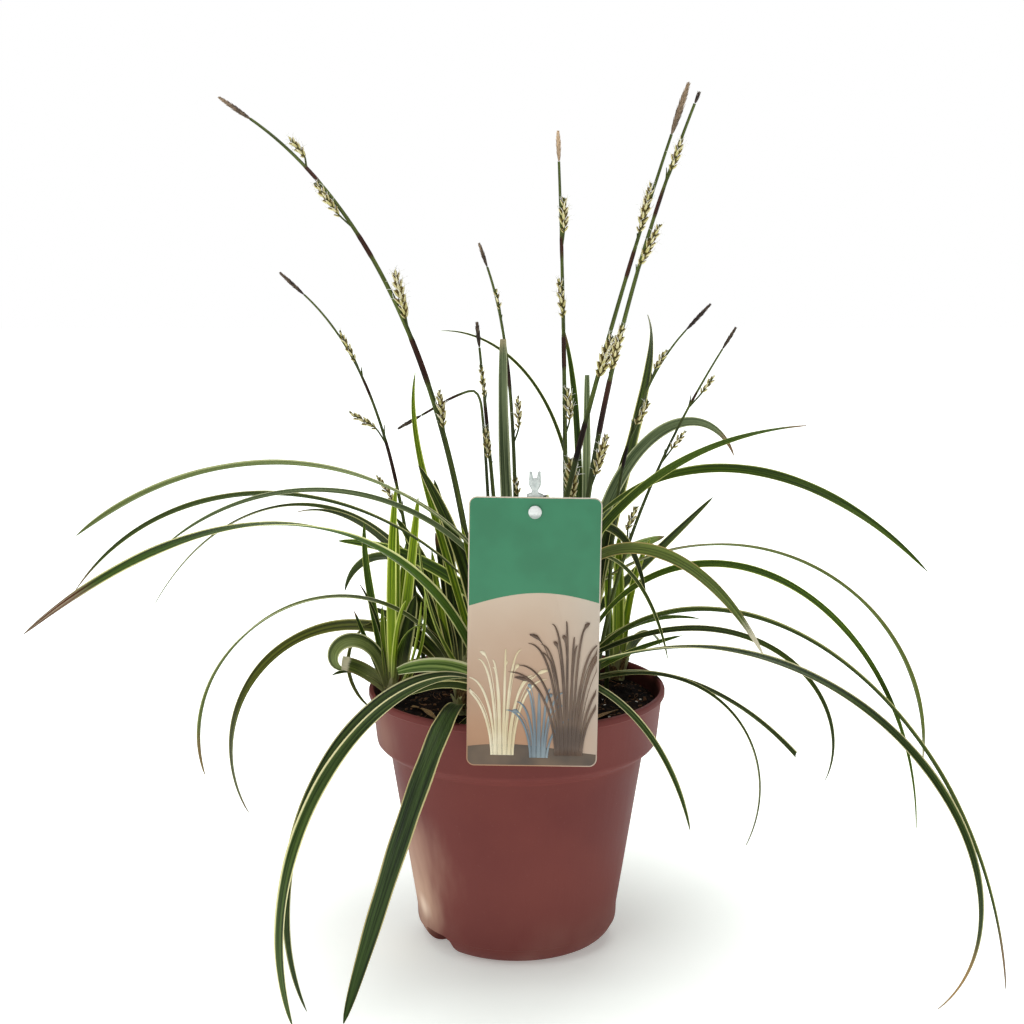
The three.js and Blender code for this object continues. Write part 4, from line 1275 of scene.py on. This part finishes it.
def make_dead_leaves():
    pile = Pile()
    for route in DEAD_LEAVES:
        corners = [(x, y, soil_top(x, y) + DEAD_LEAF["above"]) for x, y in route]
        path = through(corners, DEAD_LEAF["stations"])
        flat = np.cross(path.tangents, np.array([0.0, 0.0, 1.0]))
        path.sides = -flat / np.linalg.norm(flat, axis=1)[:, None]
        path.ups = np.cross(path.tangents, path.sides)
        taper = np.sqrt(np.maximum(0.05, np.sin(math.pi * (0.06 + 0.9 * path.t))))
        half_width = rng.uniform(1.1, 1.7) * taper
        lean = np.radians(14 * np.sin(9 * path.t + rng.uniform(0, 6)))
        thickness, groove, length = DEAD_LEAF["thickness"], DEAD_LEAF["groove"], DEAD_LEAF["length"]
        strip(pile, path, half_width, lean, thickness, groove, 0, length, rng.uniform(0, 0.4))
    declare(pile.build("dead_leaves", [husk_material()], sharp=50), "potting_soil")


# ------------------------ plant label


def slab(name, outline, hole, front, back, material):
    """A flat sheet in the XZ plane. Its outline and its hole are lists of (x, z)."""
    mesh = bmesh.new()
    edges = []
    for loop in filter(None, (outline, hole)):
        corners = [mesh.verts.new((x * MM, front * MM, z * MM)) for x, z in loop]
        edges += [mesh.edges.new((corners[i - 1], corners[i])) for i in range(len(corners))]
    bmesh.ops.triangle_fill(mesh, use_beauty=True, use_dissolve=True, edges=edges)
    whole = bmesh.ops.extrude_face_region(mesh, geom=mesh.faces[:])
    moved = [item for item in whole["geom"] if isinstance(item, bmesh.types.BMVert)]
    bmesh.ops.translate(mesh, vec=(0, (back - front) * MM, 0), verts=moved)
    bmesh.ops.recalc_face_normals(mesh, faces=mesh.faces[:])
    data = bpy.data.meshes.new(name)
    mesh.to_mesh(data)
    mesh.free()
    data.materials.append(material)
    return place_mesh(name, data, smooth=False)


def bevelled(piece, width, segments=3):
    modifier = piece.modifiers.new("bevel", "BEVEL")
    modifier.width = width * MM
    modifier.segments = segments
    modifier.limit_method = "ANGLE"
    modifier.angle_limit = math.radians(50)
    apply_modifiers(piece)
    smooth_faces(piece, 35)


def rounded(left, low, right, high, radius, steps=10):
    """The outline of a rectangle with round corners."""
    outline = []
    corners = [(right - radius, low + radius, -90), (right - radius, high - radius, 0)]
    corners += [(left + radius, high - radius, 90), (left + radius, low + radius, 180)]
    for x, z, first in corners:
        for i in range(steps + 1):
            turn = math.radians(first + 90 * i / steps)
            outline.append((x + radius * math.cos(turn), z + radius * math.sin(turn)))
    return outline


def circle(x, z, radius, steps=40):
    angles = [2 * math.pi * i / steps for i in range(steps)]
    return [(x + radius * math.cos(angle), z + radius * math.sin(angle)) for angle in angles]


def make_label():
    front = LABEL["front"]
    outline = rounded(LABEL["left"], LABEL["low"], LABEL["right"], LABEL["high"], LABEL["corner"])
    hole = circle(PEG["x"], PEG["z"], PEG["hole_radius"])
    card = slab("label_card", outline, hole, front, front + LABEL["thickness"], card_material())
    bevelled(card, 0.12, 2)
    peg = Vector((PEG["x"], 0, PEG["z"])) * MM
    roll = Matrix.Rotation(math.radians(LABEL["roll"]), 4, "Y")
    for piece in [card, *label_print(front)]:
        piece.data.transform(Matrix.Translation(peg) @ roll @ Matrix.Translation(-peg))
        declare(piece, "plant_label")


def label_print(front):
    """A generic picture of grasses on a hill: a green field at the top, and arching blades."""
    inset, face = PRINT["inset"], front - PRINT["ink"]
    left, right = LABEL["left"] + inset, LABEL["right"] - inset
    low, high = LABEL["low"] + inset, LABEL["high"] - inset
    edge = rounded(left, low, right, high, LABEL["corner"] - inset)
    steps = np.linspace(0, 1, 20)
    hill = [(right - (right - left) * u, PRINT["hill"] + 7 * math.sin(2.6 * u + 0.4)) for u in steps]
    field = hill[::-1] + [point for point in edge if point[1] > 190]
    mound = [(left + (right - left) * u, low + 7 + 2.5 * math.sin(3.4 * u + 0.6)) for u in steps]
    corners = sorted((point for point in edge if point[1] < low + 4), key=lambda point: point[0] >= 8)
    hole = circle(PEG["x"], PEG["z"], PEG["hole_radius"] + 0.15)
    prints = [
        ("label_field", field, hole, ("label_green", "287651", "2e805a")),
        ("label_ground", mound[::-1] + corners, None, ("label_earth", "4a3a2e", "6a5440")),
    ]
    pieces = [
        slab(name, outline, gap, face, front + PRINT["sink"], ink_material(*tints))
        for name, outline, gap, tints in prints
    ]
    inks = [
        ink_material("label_brown", "4c382c", "735a48"),
        ink_material("label_straw", "d9c7a0", "ece0c4"),
        ink_material("label_slate", "6d7a84", "93a0a8"),
    ]
    limits = (left + PRINT["margin"], right - PRINT["margin"])
    layer = 0
    for number, (x, z, blades, tone, size, roots) in enumerate(TUSSOCKS):
        pile = Pile()
        for i in range(blades):
            layer += 1
            share = (i + 0.5) / blades * 2 - 1
            height = size * (PRINT["blade"] - 20 * share**2 + 6 * math.sin(5.0 * i))
            reach = size * PRINT["reach"] * share + 2 * math.sin(3.0 * i)
            lift = front - (PRINT["ink"] + PRINT["layer"] * layer)
            print_blade(pile, x + roots * share, z, reach, height, lift, i % 3 == 1, limits)
        pieces.append(pile.build(f"label_grass_{number}", [inks[tone]]))
    return pieces


def print_blade(pile, x, z, reach, height, front, seeds, limits):
    """One printed blade, or a stalk with a seed head: a thin curved shape in a layer of its own."""
    count = 18
    u = np.linspace(0, 1, count)
    middle_x = x + reach * u**1.8
    middle_z = z + height * np.sin(u * math.pi * 0.5)
    half = 0.62 * (1 - u) ** 0.6 * (0.6 + u) + 0.05
    if seeds:
        half = 0.16 + 0.75 * np.exp(-(((u - 0.9) / 0.07) ** 2))
    slope_x, slope_z = np.gradient(middle_x), np.gradient(middle_z)
    run = np.hypot(slope_x, slope_z)
    across_x, across_z = slope_z / run * half, -slope_x / run * half
    x0, x1 = np.clip(middle_x - across_x, *limits), np.clip(middle_x + across_x, *limits)
    z0, z1 = middle_z - across_z, middle_z + across_z
    fore, back = np.full(count, front), np.full(count, front + PRINT["skin"])
    rows = [(x0, fore, z0), (x1, fore, z1), (x1, back, z1), (x0, back, z0)]
    pile.add(np.array(rows).transpose(2, 0, 1).reshape(-1, 3), tube_faces(count, 4))


def make_peg():
    """The button, domed at its front, and the barbed pin behind it that goes through the stake."""
    front = LABEL["front"] - 0.3
    head, depth, brim = PEG["head_radius"], PEG["head_depth"], 0.35
    profile = [(0.02, depth)]
    for turn in np.radians(np.linspace(6, 90, 14)):
        profile.append((head * math.sin(turn), brim + (depth - brim) * math.cos(turn) ** 0.8))
    profile += [(head - 0.3, 0), (1.3, 0), (1.3, -4), (2.1, -4.3), (2.0, -5), (0.9, -5.6), (0.02, -5.6)]
    points, faces = lathe(profile, 48)
    x, y, z = points.T
    stood = np.stack([x + PEG["x"], front - z, y + PEG["z"]], axis=1)
    declare(solid("peg_button", stood, faces, [peg_material()], sharp=40), "label_peg")


def make_stake():
    low, top = STAKE["low"] - LABEL["high"], STAKE["high"] - LABEL["high"]
    half, bar = STAKE["half_width"], 3.5
    right = [
        (half, low + 5),
        (half, -14),
        (half + 0.7, -11),
        (half + 0.7, -2),
        (bar, -1.5),
        (bar, 1),
        (1.5, 1.6),
        (1.5, 3),
        (2.7, 5.5),
        (2.4, top),
        (1.2, top),
        (0.8, top - 3),
    ]
    outline = [(0.0, low), *right, *[(-across, up) for across, up in reversed(right)]]
    hole = circle(0, PEG["z"] - LABEL["high"], PEG["hole_radius"])
    stake = slab("stake_stem", outline, hole, -STAKE["thickness"], 0, stake_material())
    bevelled(stake, 0.3)
    place = Vector((PEG["x"], STAKE["back"] + 0.3 + STAKE["thickness"], LABEL["high"])) * MM
    lean = Matrix.Rotation(math.radians(STAKE["lean"]), 4, "X")
    stake.data.transform(Matrix.Translation(place) @ lean)
    declare(stake, "label_stake")


# ------------------------ studio


def make_floor():
    corners = [(-1, -1, 0), (1, -1, 0), (1, 1, 0), (-1, 1, 0)]
    floor = solid("floor", np.array(corners) * FLOOR_REACH, [(0, 1, 2, 3)], [floor_material()])


def make_lights():
    for name, place, size, watts in LIGHTS:
        light = bpy.data.lights.new(name, "AREA")
        light.shape = "DISK"
        light.size = size
        light.energy = watts
        lamp = bpy.data.objects.new(name, light)
        lamp.location = place
        lamp.rotation_euler = (PLANT_MIDDLE - Vector(place)).to_track_quat("-Z", "Y").to_euler()
        bpy.context.scene.collection.objects.link(lamp)


def make_sky():
    """White where the camera sees it, and a dim white light from all round on everything else."""
    world = bpy.data.worlds.new("studio")
    bpy.context.scene.world = world
    world.use_nodes = True
    tree = world.node_tree
    sky = tree.nodes["Background"]
    seen = tree.nodes.new("ShaderNodeLightPath").outputs["Is Camera Ray"]
    strength = tree.nodes.new("ShaderNodeMapRange")
    strength.inputs["To Min"].default_value = SKY_LIGHT
    strength.inputs["To Max"].default_value = 1.0
    tree.links.new(seen, strength.inputs["Value"])
    tree.links.new(strength.outputs[0], sky.inputs["Strength"])
    sky.inputs["Color"].default_value = (1, 1, 1, 1)
    bpy.context.scene.view_settings.view_transform = "Standard"


def make_camera():
    camera = bpy.data.cameras.new("camera")
    camera.sensor_width = 36
    camera.lens = camera.sensor_width * FOCAL_PIXELS / PHOTO_PIXELS
    camera.shift_x = -(PRINCIPAL_X - PHOTO_PIXELS / 2) / PHOTO_PIXELS
    eye = bpy.data.objects.new("camera", camera)
    eye.location = CAMERA_PLACE
    eye.rotation_euler = (math.pi / 2 - CAMERA_DIP, 0, 0)
    bpy.context.scene.collection.objects.link(eye)
    bpy.context.scene.camera = eye


make_floor()
make_sky()
make_lights()
make_camera()
make_pot()
make_soil()
make_litter()
make_dead_leaves()
make_tufts()
make_stems()
make_label()
make_peg()
make_stake()

bpy.context.view_layer.update()
